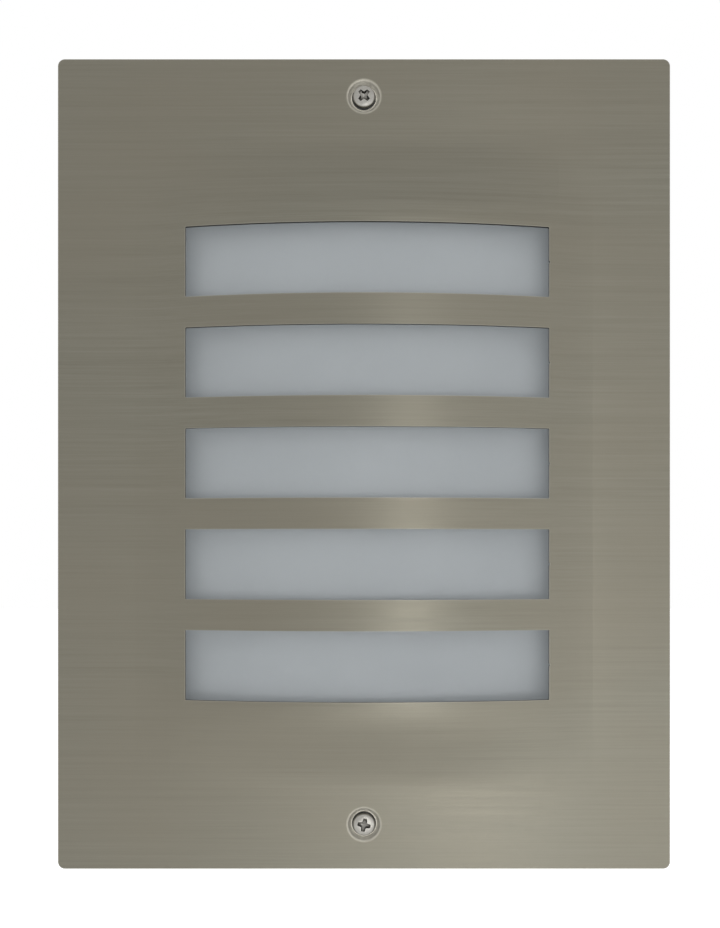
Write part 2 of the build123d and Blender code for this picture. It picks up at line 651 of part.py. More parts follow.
# ---------------------------------------------------------------- recess box
with BuildPart() as recess_box:
    with BuildSketch(face_to_room(BOX_DEPTH)):
        RectangleRounded(2 * BOX_HALF_W, 2 * BOX_HALF_H, BOX_R)
    extrude(amount=BOX_DEPTH)
    fillet(recess_box.faces().sort_by(Axis.Y)[-1].edges(), BOX_BACK_R)
    for y in RIB_Y:
        with BuildSketch(face_to_room(y)) as rib:
            RectangleRounded(2 * (BOX_HALF_W + RIB_H), 2 * (BOX_HALF_H + RIB_H), BOX_R + RIB_H)
        extrude(rib.sketch, amount=RIB_W / 2, both=True, taper=RIB_DRAFT)
    with BuildSketch(face_to_room(INSIDE_BACK)) as hollow:
        RectangleRounded(2 * INSIDE_W, 2 * INSIDE_H, BOX_R - BOX_WALL)
    extrude(hollow.sketch, amount=INSIDE_BACK + 1, mode=Mode.SUBTRACT)
    for x, z in SCREWS:
        rods([(x, z)], PILLAR_R, PILLAR_FRONT, PILLAR_BACK)
        wall_z = math.copysign(INSIDE_H + 1, z)
        with BuildSketch(face_to_room(PILLAR_BACK)) as web:
            with Locations((x, (z + wall_z) / 2)):
                Rectangle(2 * PILLAR_R, abs(wall_z - z))
        extrude(web.sketch, amount=PILLAR_L)
    rods(TRAY_SCREWS, BOSS_R, TRAY_BACK, INSIDE_BACK + 1)
    rods(BRACKET_SCREWS, BOSS_R, BRACKET_LEG_Y + BRACKET_T, INSIDE_BACK + 1)
    rods(BLOCK_SCREWS, BOSS_R, BLOCK_REAR, INSIDE_BACK + 1)
    rods([EARTH], EARTH_PAD_R, EARTH_PAD_Y, INSIDE_BACK + 1)
    rods(FIXINGS, FIX_PAD_R, INSIDE_BACK - FIX_PAD_T, INSIDE_BACK + 1)
    rods(FIXINGS, FIX_R, INSIDE_BACK - FIX_PAD_T - 1, BOX_DEPTH + 1, Mode.SUBTRACT)
    rods(SCREWS, INSERT_R, PILLAR_FRONT - 1, PILLAR_FRONT + INSERT_L, Mode.SUBTRACT)
    rods(SCREWS, SHANK_R + HOLE_EASE, PILLAR_FRONT, PILLAR_BACK - PILLAR_BLIND, Mode.SUBTRACT)
    rods(TRAY_SCREWS, M4_R, TRAY_BACK - 1, TRAY_BACK - TRAY_T + M4_HOLD, Mode.SUBTRACT)
    rods(BRACKET_SCREWS, M4_R, BRACKET_LEG_Y, BRACKET_LEG_Y + M4_HOLD + 1, Mode.SUBTRACT)
    rods(BLOCK_SCREWS, M3_R, BLOCK_REAR - 1, BLOCK_REAR + M3_HOLD, Mode.SUBTRACT)
    rods([EARTH], M4_R, EARTH_PAD_Y - 1, EARTH_PAD_Y + M4_HOLD - 1, Mode.SUBTRACT)
    for x in (-ENTRY_X, ENTRY_X):
        post(ENTRY_R, ENTRY_FACE - RIB_H - 1, ENTRY_INSIDE + 1, x, ENTRY_Y, Mode.SUBTRACT)

with BuildPart() as pillar_inserts:
    rods(SCREWS, INSERT_R, PILLAR_FRONT, PILLAR_FRONT + INSERT_L)
    rods(SCREWS, INSERT_BORE_R, PILLAR_FRONT - 1, PILLAR_FRONT + INSERT_L + 1, Mode.SUBTRACT)

# ---------------------------------------------------------------- reflector tray
with BuildPart() as reflector_tray:
    with BuildSketch(front(TRAY_FRONT)):
        with Locations((0, TRAY_MID_Z)):
            RectangleRounded(2 * TRAY_HALF_W, 2 * TRAY_HALF_H, TRAY_CORNER_R)
    extrude(amount=TRAY_BACK - TRAY_FRONT, taper=TRAY_TAPER)
    with BuildSketch(front(TRAY_FRONT)) as lip:
        with Locations((0, TRAY_MID_Z)):
            RectangleRounded(
                2 * (TRAY_HALF_W + TRAY_LIP), 2 * (TRAY_HALF_H + TRAY_LIP), TRAY_CORNER_R + TRAY_LIP
            )
    extrude(lip.sketch, amount=TRAY_T)
    with BuildSketch(front(TRAY_FRONT)) as dish:
        with Locations((0, TRAY_MID_Z)):
            RectangleRounded(2 * (TRAY_HALF_W - TRAY_T), 2 * (TRAY_HALF_H - TRAY_T), TRAY_CORNER_R - TRAY_T)
    extrude(dish.sketch, amount=TRAY_BACK - TRAY_FRONT - TRAY_T, taper=TRAY_TAPER, mode=Mode.SUBTRACT)
    post(HOLDER_R + HOLDER_GAP, TRAY_BOTTOM - 2 * TRAY_LIP, TRAY_MID_Z, 0, LAMP_Y, Mode.SUBTRACT)
    rods(TRAY_SCREWS, M4_R + HOLE_EASE, TRAY_BACK - TRAY_T - 1, TRAY_BACK + 1, Mode.SUBTRACT)
    rods([p for p in FIXINGS if p[1] > 0], ACCESS_R, TRAY_BACK - TRAY_T - 1, TRAY_BACK + 1, Mode.SUBTRACT)

with BuildPart() as tray_screws:
    pan_screw(
        TRAY_SCREWS, TRAY_BACK - TRAY_T, M4_HEAD_R, M4_HEAD_H, M4_R, M4_HOLD - 0.5, M4_CROSS, (20, 65, 40, 5),
    )

# ---------------------------------------------------------------- lampholder
with BuildPart() as lampholder_body:
    waist_r = HOLDER_R - HOLDER_WAIST
    foot, rim = HOLDER_BOTTOM + HOLDER_FOOT, HOLDER_TOP - HOLDER_RIM
    turned(0, LAMP_Y, (
        (0, HOLDER_BOTTOM), (HOLDER_R - 1, HOLDER_BOTTOM), (HOLDER_R, HOLDER_BOTTOM + 1),
        (HOLDER_R, foot), (waist_r, foot + 2), (waist_r, rim - 2), (HOLDER_R, rim),
        (HOLDER_R, HOLDER_TOP - 2), (HOLDER_R - 2, HOLDER_TOP), (CAVITY_R + 1, HOLDER_TOP),
        (CAVITY_R, HOLDER_TOP - 1), (CAVITY_R, CAVITY_FLOOR), (0, CAVITY_FLOOR),
    ))
    for x in (-HOLDER_SCREW_X, HOLDER_SCREW_X):
        post(M3_R, HOLDER_BOTTOM - 1, HOLDER_BOTTOM + THREAD_HOLD + 0.5, x, LAMP_Y, Mode.SUBTRACT)
    lead_hole(LIVE_ROUTE, LEAD_R)
    lead_hole(NEUTRAL_ROUTE, LEAD_R)

with BuildPart() as lampholder_shell:
    shell_low, shell_high = CAVITY_FLOOR + SHELL_UP, HOLDER_TOP - SHELL_UP
    turned(0, LAMP_Y, (
        (CAVITY_R - SHELL_T, shell_low), (CAVITY_R, shell_low),
        (CAVITY_R, shell_high), (CAVITY_R - SHELL_T, shell_high),
    ))

with BuildPart() as lampholder_contact:
    with BuildSketch(Plane(origin=(0, LAMP_Y, 0), x_dir=(1, 0, 0), z_dir=(0, -1, 0))):
        with BuildLine():
            spring = ((-9, 0), (-4, 0), (2.5, 1.6), (5.5, 1.0))
            lower = [(x, CAVITY_FLOOR + dz) for x, dz in spring]
            upper = [(x, z + CONTACT_T) for x, z in reversed(lower)]
            Polyline(*lower, *upper, close=True)
        make_face()
    extrude(amount=CONTACT_HALF_W, both=True)

with BuildPart() as lampholder_bracket:
    with BuildSketch(level(BRACKET_UNDER)):
        with Locations((0, (BRACKET_FRONT + BRACKET_LEG_Y + BRACKET_T) / 2)):
            Rectangle(2 * BRACKET_HALF_W, BRACKET_LEG_Y + BRACKET_T - BRACKET_FRONT)
    extrude(amount=BRACKET_T)
    with BuildSketch(face_to_room(BRACKET_LEG_Y + BRACKET_T)) as leg:
        with Locations((0, (HOLDER_BOTTOM + BRACKET_TOP) / 2)):
            Rectangle(2 * BRACKET_HALF_W, BRACKET_TOP - HOLDER_BOTTOM)
    extrude(leg.sketch, amount=BRACKET_T)
    toes = [
        e for e in lampholder_bracket.edges()
        if (abs(e.center().Y - BRACKET_FRONT) < 0.01 or abs(e.center().Z - BRACKET_TOP) < 0.01)
        and abs(abs(e.center().X) - BRACKET_HALF_W) < 0.01 and abs(e.length - BRACKET_T) < 0.01
    ]
    fillet(toes, BRACKET_CORNER_R)
    for x in (-HOLDER_SCREW_X, HOLDER_SCREW_X):
        post(M3_R + HOLE_EASE, BRACKET_UNDER - 1, HOLDER_BOTTOM + 1, x, LAMP_Y, Mode.SUBTRACT)
    rods(BRACKET_SCREWS, M4_R + HOLE_EASE, BRACKET_LEG_Y - 1, BRACKET_LEG_Y + BRACKET_T + 1, Mode.SUBTRACT)

with BuildPart() as bracket_screws:
    pan_screw(BRACKET_SCREWS, BRACKET_LEG_Y, M4_HEAD_R, M4_HEAD_H, M4_R, M4_HOLD, M4_CROSS, (30, 75))

with BuildPart() as holder_screws:
    head_low = BRACKET_UNDER - M3_HEAD_H
    for x in (-HOLDER_SCREW_X, HOLDER_SCREW_X):
        turned(x, LAMP_Y, (
            (0, head_low), (M3_HEAD_R - 0.6, head_low), (M3_HEAD_R, head_low + 0.7),
            (M3_HEAD_R, BRACKET_UNDER), (M3_R, BRACKET_UNDER),
            (M3_R, HOLDER_BOTTOM + THREAD_HOLD), (0, HOLDER_BOTTOM + THREAD_HOLD),
        ))
        with BuildSketch(level(head_low, x, LAMP_Y)) as slit:
            Rectangle(2 * M3_HEAD_R + 1, 0.8)
        extrude(slit.sketch, amount=M3_HEAD_H / 2, mode=Mode.SUBTRACT)

# ---------------------------------------------------------------- wiring
with BuildPart() as terminal_block:
    with BuildSketch(face_to_room(BLOCK_REAR)):
        with Locations((BLOCK_MID_X, BLOCK_MID_Z)):
            Rectangle(BLOCK_W, BLOCK_H)
    extrude(amount=BLOCK_FOOT_T)
    with BuildSketch(face_to_room(BLOCK_REAR - BLOCK_FOOT_T)) as towers:
        with Locations(*[(x, BLOCK_MID_Z) for x in POLE_X]):
            Rectangle(BLOCK_TOWER_W, BLOCK_H)
    extrude(towers.sketch, amount=BLOCK_T - BLOCK_FOOT_T)
    with BuildSketch(level(BLOCK_LOW - 1)) as channels:
        with Locations(*[(x, POLE_Y) for x in POLE_X]):
            Rectangle(2 * SLEEVE_HALF, 2 * SLEEVE_HALF)
    extrude(channels.sketch, amount=BLOCK_H + 2, mode=Mode.SUBTRACT)
    rods(POLE_SCREWS, POLE_WELL_R, BLOCK_FRONT - 1, POLE_Y, Mode.SUBTRACT)
    rods(BLOCK_SCREWS, M3_R + HOLE_EASE, BLOCK_REAR - BLOCK_FOOT_T - 1, BLOCK_REAR + 1, Mode.SUBTRACT)

with BuildPart() as terminal_sleeves:
    with BuildSketch(level(BLOCK_LOW + SLEEVE_IN)):
        with Locations(*[(x, POLE_Y) for x in POLE_X]):
            Rectangle(2 * SLEEVE_HALF, 2 * SLEEVE_HALF)
            Circle(LEAD_R, mode=Mode.SUBTRACT)
    extrude(amount=BLOCK_H - 2 * SLEEVE_IN)
    rods(POLE_SCREWS, POLE_SCREW_R, POLE_Y - SLEEVE_HALF - 1, POLE_Y, Mode.SUBTRACT)

with BuildPart() as terminal_screws:
    for x, z in POLE_SCREWS:
        rods([(x, z)], POLE_SCREW_R, BLOCK_FRONT + POLE_SCREW_SUNK, POLE_Y - LEAD_R)
        with BuildSketch(front(BLOCK_FRONT + POLE_SCREW_SUNK)) as slit:
            with Locations((-x, z)):
                Rectangle(2 * POLE_SCREW_R + 1, 0.6, rotation=37 * x + 11 * z)
        extrude(slit.sketch, amount=0.8, mode=Mode.SUBTRACT)

with BuildPart() as terminal_fixings:
    pan_screw(
        BLOCK_SCREWS, BLOCK_REAR - BLOCK_FOOT_T, BLOCK_HEAD_R, BLOCK_HEAD_H, M3_R,
        BLOCK_FOOT_T + M3_HOLD - 1, 2 * BLOCK_HEAD_R / 1.6, (15, 50),
    )

with BuildPart() as earth_lug:
    with BuildSketch(face_to_room(EARTH_PAD_Y)):
        with Locations(EARTH):
            Circle(LUG_R)
        with Locations((EARTH[0], EARTH[1] - LUG_BARREL_FAR / 2)):
            Rectangle(2 * LUG_BARREL_R - 0.8, LUG_BARREL_FAR)
        with Locations(EARTH):
            Circle(M4_R + HOLE_EASE, mode=Mode.SUBTRACT)
    extrude(amount=LUG_T)
    post(LUG_BARREL_R, EARTH[1] - LUG_BARREL_FAR, EARTH[1] - LUG_BARREL_NEAR, EARTH[0], LUG_Y)
    post(LEAD_R, EARTH[1] - LUG_BARREL_FAR - 1, EARTH[1] - LUG_BARREL_NEAR - 0.5, EARTH[0], LUG_Y, Mode.SUBTRACT)

with BuildPart() as earth_washer:
    rods([EARTH], LUG_R, EARTH_PAD_Y - 2 * LUG_T, EARTH_PAD_Y - LUG_T)
    rods([EARTH], M4_R + HOLE_EASE, EARTH_PAD_Y - 3 * LUG_T, EARTH_PAD_Y, Mode.SUBTRACT)

with BuildPart() as earth_screw:
    pan_screw([EARTH], EARTH_PAD_Y - 2 * LUG_T, M4_HEAD_R, M4_HEAD_H, M4_R, M4_HOLD, M4_CROSS, (25,))

live_lead = lead("live", LIVE_ROUTE, LEAD_R)
neutral_lead = lead("neutral", NEUTRAL_ROUTE, LEAD_R)
earth_lead = lead("earth", EARTH_ROUTE, LEAD_R)

# ---------------------------------------------------------------- cable entries
with BuildPart() as gland_washer:
    post(ENTRY_WASHER_R, GLAND_HEX_TOP, ENTRY_FACE, -ENTRY_X, ENTRY_Y)
    post(THREAD_R, GLAND_HEX_TOP - 1, ENTRY_FACE + 1, -ENTRY_X, ENTRY_Y, Mode.SUBTRACT)

with BuildPart() as gland_body:
    hex_post(GLAND_AF, GLAND_HEX_LOW, GLAND_HEX_TOP, -ENTRY_X, ENTRY_Y)
    post(THREAD_R, GLAND_HEX_TOP, THREAD_TOP, -ENTRY_X, ENTRY_Y)
    post(GLAND_NOSE_R, NOSE_LOW, GLAND_HEX_LOW, -ENTRY_X, ENTRY_Y)
    post(GLAND_BORE_R, NOSE_LOW - 1, THREAD_TOP + 1, -ENTRY_X, ENTRY_Y, Mode.SUBTRACT)
    post(SEAL_OUT_R, NOSE_LOW - 1, GLAND_HEX_LOW, -ENTRY_X, ENTRY_Y, Mode.SUBTRACT)

with BuildPart() as gland_locknut:
    hex_post(LOCKNUT_AF, ENTRY_INSIDE, LOCKNUT_TOP, -ENTRY_X, ENTRY_Y)
    post(THREAD_R, ENTRY_INSIDE - 1, LOCKNUT_TOP + 1, -ENTRY_X, ENTRY_Y, Mode.SUBTRACT)

with BuildPart() as gland_seal:
    post(SEAL_OUT_R, SEAL_END, GLAND_HEX_LOW, -ENTRY_X, ENTRY_Y)
    post(SEAL_BORE_R, SEAL_END - 1, GLAND_HEX_LOW + 1, -ENTRY_X, ENTRY_Y, Mode.SUBTRACT)

with BuildPart() as gland_dome_nut:
    hex_post(GLAND_AF, NOSE_LOW, GLAND_HEX_LOW - DOME_GAP, -ENTRY_X, ENTRY_Y)
    turned(-ENTRY_X, ENTRY_Y, (
        (0, DOME_LOW), (DOME_MOUTH_R + 1.3, DOME_LOW), (GLAND_NOSE_R, DOME_LOW + 1.5),
        (GLAND_AF / 2, NOSE_LOW), (0, NOSE_LOW),
    ))
    post(GLAND_NOSE_R, NOSE_LOW, GLAND_HEX_LOW + 1, -ENTRY_X, ENTRY_Y, Mode.SUBTRACT)
    post(SEAL_OUT_R, SEAL_END, NOSE_LOW + 1, -ENTRY_X, ENTRY_Y, Mode.SUBTRACT)
    post(DOME_MOUTH_R, DOME_LOW - 1, NOSE_LOW, -ENTRY_X, ENTRY_Y, Mode.SUBTRACT)

with BuildPart() as plug_washer:
    post(ENTRY_WASHER_R, GLAND_HEX_TOP, ENTRY_FACE, ENTRY_X, ENTRY_Y)
    post(THREAD_R, GLAND_HEX_TOP - 1, ENTRY_FACE + 1, ENTRY_X, ENTRY_Y, Mode.SUBTRACT)

with BuildPart() as entry_plug:
    plug_low = GLAND_HEX_TOP - PLUG_FLANGE_T
    hollow_r, hollow_low = THREAD_R - 2, GLAND_HEX_TOP + 2
    turned(ENTRY_X, ENTRY_Y, (
        (0, plug_low), (PLUG_R - 1, plug_low), (PLUG_R, plug_low + 1), (PLUG_R, GLAND_HEX_TOP),
        (THREAD_R, GLAND_HEX_TOP), (THREAD_R, THREAD_TOP), (hollow_r, THREAD_TOP),
        (hollow_r, hollow_low), (0, hollow_low),
    ))
    with BuildSketch(level(plug_low, ENTRY_X, ENTRY_Y)) as slit:
        Rectangle(2 * hollow_r, 2.2, rotation=30)
    extrude(slit.sketch, amount=1.8, mode=Mode.SUBTRACT)

with BuildPart() as plug_nut:
    hex_post(LOCKNUT_AF, ENTRY_INSIDE, LOCKNUT_TOP, ENTRY_X, ENTRY_Y)
    post(THREAD_R, ENTRY_INSIDE - 1, LOCKNUT_TOP + 1, ENTRY_X, ENTRY_Y, Mode.SUBTRACT)

# ---------------------------------------------------------------- lamp
CAP_BORE_R = CAP_R - CAP_T
RIM_R = math.sqrt(GLOBE_R ** 2 - GLOBE_UP ** 2)

with BuildPart() as lamp_cap:
    turned(0, LAMP_Y, (
        (CAP_BORE_R, CAP_BOTTOM), (CAP_R, CAP_BOTTOM + CAP_T), (CAP_R, CAP_TOP), (CAP_BORE_R, CAP_TOP),
    ))

with BuildPart() as lamp_insulator:
    turned(0, LAMP_Y, (
        (0, CAP_BOTTOM - 2.0), (4.8, CAP_BOTTOM - 2.0), (CAP_BORE_R - 0.4, CAP_BOTTOM),
        (CAP_BORE_R, CAP_BOTTOM), (CAP_BORE_R, CAP_BOTTOM + 2.5), (0, CAP_BOTTOM + 2.5),
    ))

with BuildPart() as lamp_contact:
    turned(0, LAMP_Y, (
        (0, CAP_BOTTOM - 2.9), (3.6, CAP_BOTTOM - 2.8), (4.6, CAP_BOTTOM - 2.0), (0, CAP_BOTTOM - 2.0),
    ))

with BuildPart() as lamp_collar:
    waist, flare = CAP_TOP + 0.43 * COLLAR_H, CAP_TOP + 0.6 * COLLAR_H
    with BuildSketch(Plane(origin=(0, LAMP_Y, 0), x_dir=(1, 0, 0), z_dir=(0, -1, 0))):
        with BuildLine():
            Polyline(
                (CAP_BORE_R, CAP_TOP + 0.5), (CAP_BORE_R, CAP_TOP - COLLAR_PLUG),
                (CAP_BORE_R - COLLAR_T, CAP_TOP - COLLAR_PLUG), (CAP_BORE_R - COLLAR_T, CAP_TOP + 2),
            )
            Bezier(
                (CAP_BORE_R - COLLAR_T, CAP_TOP + 2), (CAP_R - 0.7, waist),
                (RIM_R - 4.9, flare), (RIM_R - COLLAR_T, COLLAR_TOP),
            )
            Line((RIM_R - COLLAR_T, COLLAR_TOP), (RIM_R, COLLAR_TOP))
            Bezier((RIM_R, COLLAR_TOP), (RIM_R - 2.9, flare), (CAP_R + 1.4, waist), (CAP_R + 0.6, CAP_TOP + 0.5))
            Line((CAP_R + 0.6, CAP_TOP + 0.5), (CAP_BORE_R, CAP_TOP + 0.5))
        make_face()
    revolve(axis=Axis((0, LAMP_Y, 0), (0, 0, 1)))

with BuildPart() as lamp_board:
    board_r = RIM_R - COLLAR_T - 0.2
    turned(0, LAMP_Y, (
        (0, COLLAR_TOP), (board_r, COLLAR_TOP), (board_r, COLLAR_TOP + BOARD_T), (0, COLLAR_TOP + BOARD_T),
    ))

with BuildPart() as lamp_globe:
    with BuildSketch(Plane(origin=(0, LAMP_Y, 0), x_dir=(1, 0, 0), z_dir=(0, -1, 0))):
        with BuildLine():
            inner_r = GLOBE_R - GLOBE_T
            inner_x = math.sqrt(inner_r ** 2 - GLOBE_UP ** 2)
            half_up = (math.pi / 2 - math.atan2(GLOBE_UP, RIM_R)) / 2
            out_mid = (GLOBE_R * math.cos(half_up), GLOBE_Z + GLOBE_R * math.sin(half_up))
            in_mid = (inner_r * math.cos(half_up), GLOBE_Z + inner_r * math.sin(half_up))
            ThreePointArc((RIM_R, COLLAR_TOP), out_mid, (0, GLOBE_Z + GLOBE_R))
            Line((0, GLOBE_Z + GLOBE_R), (0, GLOBE_Z + inner_r))
            ThreePointArc((0, GLOBE_Z + inner_r), in_mid, (inner_x, COLLAR_TOP))
            Line((inner_x, COLLAR_TOP), (RIM_R, COLLAR_TOP))
        make_face()
    revolve(axis=Axis((0, LAMP_Y, 0), (0, 0, 1)))

# ---------------------------------------------------------------- labels and export
PIECES = {
    "face_plate": face_plate.part,
    "wall_gasket": wall_gasket.part,
    "rim_gasket": rim_gasket.part,
    "diffuser": diffuser.part,
    "diffuser_gasket": diffuser_gasket.part,
    "retaining_frame": retaining_frame.part,
    "frame_studs": frame_studs.part,
    "frame_washers": frame_washers.part,
    "frame_nuts": frame_nuts.part,
    "screw_upper": screw_upper.part,
    "screw_lower": screw_lower.part,
    "seal_washer_upper": seal_washer_upper.part,
    "seal_washer_lower": seal_washer_lower.part,
    "recess_box": recess_box.part,
    "pillar_inserts": pillar_inserts.part,
    "reflector_tray": reflector_tray.part,
    "tray_screws": tray_screws.part,
    "lampholder_body": lampholder_body.part,
    "lampholder_shell": lampholder_shell.part,
    "lampholder_contact": lampholder_contact.part,
    "lampholder_bracket": lampholder_bracket.part,
    "bracket_screws": bracket_screws.part,
    "holder_screws": holder_screws.part,
    "terminal_block": terminal_block.part,
    "terminal_sleeves": terminal_sleeves.part,
    "terminal_screws": terminal_screws.part,
    "terminal_fixings": terminal_fixings.part,
    "earth_lug": earth_lug.part,
    "earth_washer": earth_washer.part,
    "earth_screw": earth_screw.part,
    "live_lead": live_lead,
    "neutral_lead": neutral_lead,
    "earth_lead": earth_lead,
    "gland_washer": gland_washer.part,
    "gland_body": gland_body.part,
    "gland_locknut": gland_locknut.part,
    "gland_seal": gland_seal.part,
    "gland_dome_nut": gland_dome_nut.part,
    "plug_washer": plug_washer.part,
    "entry_plug": entry_plug.part,
    "plug_nut": plug_nut.part,
    "lamp_cap": lamp_cap.part,
    "lamp_insulator": lamp_insulator.part,
    "lamp_contact": lamp_contact.part,
    "lamp_collar": lamp_collar.part,
    "lamp_board": lamp_board.part,
    "lamp_globe": lamp_globe.part,
}
for label, piece in PIECES.items():
    piece.label = label
    export_step(piece, "parts/" + label + ".step")
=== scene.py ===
"""Looks of the recessed step light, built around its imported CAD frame.

+X is the right hand side seen from in front, +Z is up and the front faces -Y.
Materials, lamps and the camera are in metres. Sizes of pieces are in millimetres.
"""

import json
import math

import bmesh
import bpy
from mathutils import Matrix, Vector


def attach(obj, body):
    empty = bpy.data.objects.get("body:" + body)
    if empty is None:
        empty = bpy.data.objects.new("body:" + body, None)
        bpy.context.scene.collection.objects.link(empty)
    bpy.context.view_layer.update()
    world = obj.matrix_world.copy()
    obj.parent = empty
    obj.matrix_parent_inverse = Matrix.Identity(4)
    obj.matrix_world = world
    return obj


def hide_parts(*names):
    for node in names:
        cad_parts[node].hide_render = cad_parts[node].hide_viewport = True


MM = 0.001

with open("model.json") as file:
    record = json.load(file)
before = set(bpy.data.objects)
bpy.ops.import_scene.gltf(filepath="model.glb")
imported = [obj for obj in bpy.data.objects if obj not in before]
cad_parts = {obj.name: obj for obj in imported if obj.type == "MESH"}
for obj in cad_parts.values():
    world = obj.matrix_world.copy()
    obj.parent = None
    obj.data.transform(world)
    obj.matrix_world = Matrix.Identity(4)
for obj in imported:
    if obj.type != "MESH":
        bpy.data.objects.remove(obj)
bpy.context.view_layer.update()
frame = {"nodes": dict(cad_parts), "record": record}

# Each fascia screw's X, Z and the turn of its cross recess in degrees.
SCREWS = {"upper": (0.0, 132.2, 45), "lower": (0.0, -129.6, 12)}


# ---------------------------------------------------------------- node helpers
class Shader:
    """A node tree that is written as a few calls."""

    def __init__(self, name):
        self.material = bpy.data.materials.new(name)
        self.material.use_nodes = True
        self.tree = self.material.node_tree
        self.bsdf = self.tree.nodes["Principled BSDF"]
        self.place = self.node("ShaderNodeTexCoord").outputs["Object"]

    def node(self, kind, **settings):
        made = self.tree.nodes.new(kind)
        for key, value in settings.items():
            setattr(made, key, value)
        return made

    def link(self, source, target):
        self.tree.links.new(source, target)

    def set(self, **values):
        """Sets the surface's own sockets: underscores stand for spaces."""
        for key, value in values.items():
            socket = key.replace("_", " ").title().replace("Ior", "IOR")
            self.bsdf.inputs[socket].default_value = value

    def stretched(self, scale):
        """Object coordinates scaled per axis."""
        mapping = self.node("ShaderNodeMapping")
        mapping.inputs["Scale"].default_value = scale
        self.link(self.place, mapping.inputs["Vector"])
        return mapping.outputs["Vector"]

    def noise(self, scale, detail=6.0, rough=0.6, vector=None):
        made = self.node("ShaderNodeTexNoise")
        made.inputs["Scale"].default_value = scale
        made.inputs["Detail"].default_value = detail
        made.inputs["Roughness"].default_value = rough
        self.link(vector or self.place, made.inputs["Vector"])
        return made.outputs["Fac"]

    def cells(self, scale):
        """Distance to the nearest cell's middle."""
        made = self.node("ShaderNodeTexVoronoi")
        made.inputs["Scale"].default_value = scale
        self.link(self.place, made.inputs["Vector"])
        return made.outputs["Distance"]

    def ramp(self, value, stops):
        """A colour or grey ramp from (position, grey or colour) stops."""
        made = self.node("ShaderNodeValToRGB")
        elements = made.color_ramp.elements
        for index, (position, colour) in enumerate(stops):
            element = elements[index] if index < len(elements) else elements.new(position)
            element.position = position
            element.color = (*colour, 1) if isinstance(colour, tuple) else (colour, colour, colour, 1)
        self.link(value, made.inputs["Fac"])
        return made.outputs["Color"]

    def spread(self, value, low, high, out_low, out_high):
        """Carries the range from low to high over to another range."""
        made = self.node("ShaderNodeMapRange")
        for key, number in zip(("From Min", "From Max", "To Min", "To Max"), (low, high, out_low, out_high)):
            made.inputs[key].default_value = number
        self.link(value, made.inputs["Value"])
        return made.outputs["Result"]

    def math(self, operation, *values):
        made = self.node("ShaderNodeMath", operation=operation)
        for socket, value in zip(made.inputs, values):
            if isinstance(value, (int, float)):
                socket.default_value = value
            else:
                self.link(value, socket)
        return made.outputs[0]

    def mix(self, share, a, b):
        """Mixes two colours, each a socket or a plain colour."""
        made = self.node("ShaderNodeMix", data_type="RGBA")
        for socket, value in ((made.inputs[0], share), (made.inputs[6], a), (made.inputs[7], b)):
            if isinstance(value, (int, float)):
                socket.default_value = value
            elif isinstance(value, tuple):
                socket.default_value = (*value, 1)
            else:
                self.link(value, socket)
        return made.outputs[2]

    def apart(self, here, there):
        """Distance between two vectors, the second a socket or a plain place."""
        made = self.node("ShaderNodeVectorMath", operation="DISTANCE")
        self.link(here, made.inputs[0])
        if isinstance(there, tuple):
            made.inputs[1].default_value = there
        else:
            self.link(there, made.inputs[1])
        return made.outputs["Value"]

    def parts(self, vector):
        """X, Y and Z of a vector."""
        made = self.node("ShaderNodeSeparateXYZ")
        self.link(vector, made.inputs[0])
        return made.outputs

    def colour(self, source):
        self.link(source, self.bsdf.inputs["Base Color"])

    def roughness(self, source):
        self.link(source, self.bsdf.inputs["Roughness"])

    def bump(self, height, distance, strength=1.0):
        """Adds a layer of relief on top of the layers that were added before it."""
        made = self.node("ShaderNodeBump")
        made.inputs["Strength"].default_value = strength
        made.inputs["Distance"].default_value = distance
        self.link(height, made.inputs["Height"])
        before = self.bsdf.inputs["Normal"].links
        if before:
            self.link(before[0].from_socket, made.inputs["Normal"])
        self.link(made.outputs["Normal"], self.bsdf.inputs["Normal"])

    def edges(self, radius, low=0.02, high=0.35):
        """0 on faces and 1 on sharp edges, within a radius."""
        bevel = self.node("ShaderNodeBevel", samples=4)
        bevel.inputs["Radius"].default_value = radius
        flat = self.node("ShaderNodeNewGeometry")
        return self.spread(self.apart(bevel.outputs["Normal"], flat.outputs["Normal"]), low, high, 0.0, 1.0)


# ---------------------------------------------------------------- materials
# Reach and tilt of the slots' cut faces that take painted shade.
SLOT_REACH = 0.069
CUT_FACE_TILT = 0.2
DIMPLE_Y = -0.0026
# Radii of the dimples' pale ring: real scuffing plus a painted highlight.
LIT_SCUFF_INNER_R = 0.0050
LIT_SCUFF_OUTER_R = 0.0066


def slot_edges(s):
    """1 on the sheet's cut faces inside the slotted field, where shade is painted, 0 elsewhere."""
    normal = s.parts(s.node("ShaderNodeNewGeometry").outputs["Normal"])
    cut = s.math("LESS_THAN", s.math("ABSOLUTE", normal["Y"]), CUT_FACE_TILT)
    inside = s.math("LESS_THAN", s.math("ABSOLUTE", s.parts(s.place)["X"]), SLOT_REACH)
    return s.math("MULTIPLY", cut, inside)


def scuffed_lit_dimples(s):
    """1 in the two screw dimples, scuffed and lifted by a painted highlight, broken up by wear, and 0
    outside them.
    """
    near = [
        s.spread(s.apart(s.place, (x * MM, DIMPLE_Y, z * MM)), LIT_SCUFF_INNER_R, LIT_SCUFF_OUTER_R, 1.0, 0.0)
        for x, z, _ in SCREWS.values()
    ]
    wear = s.spread(s.noise(700.0, 4.0, 0.6), 0.3, 0.7, 0.75, 1.0)
    return s.math("MULTIPLY", s.math("MAXIMUM", *near), wear)


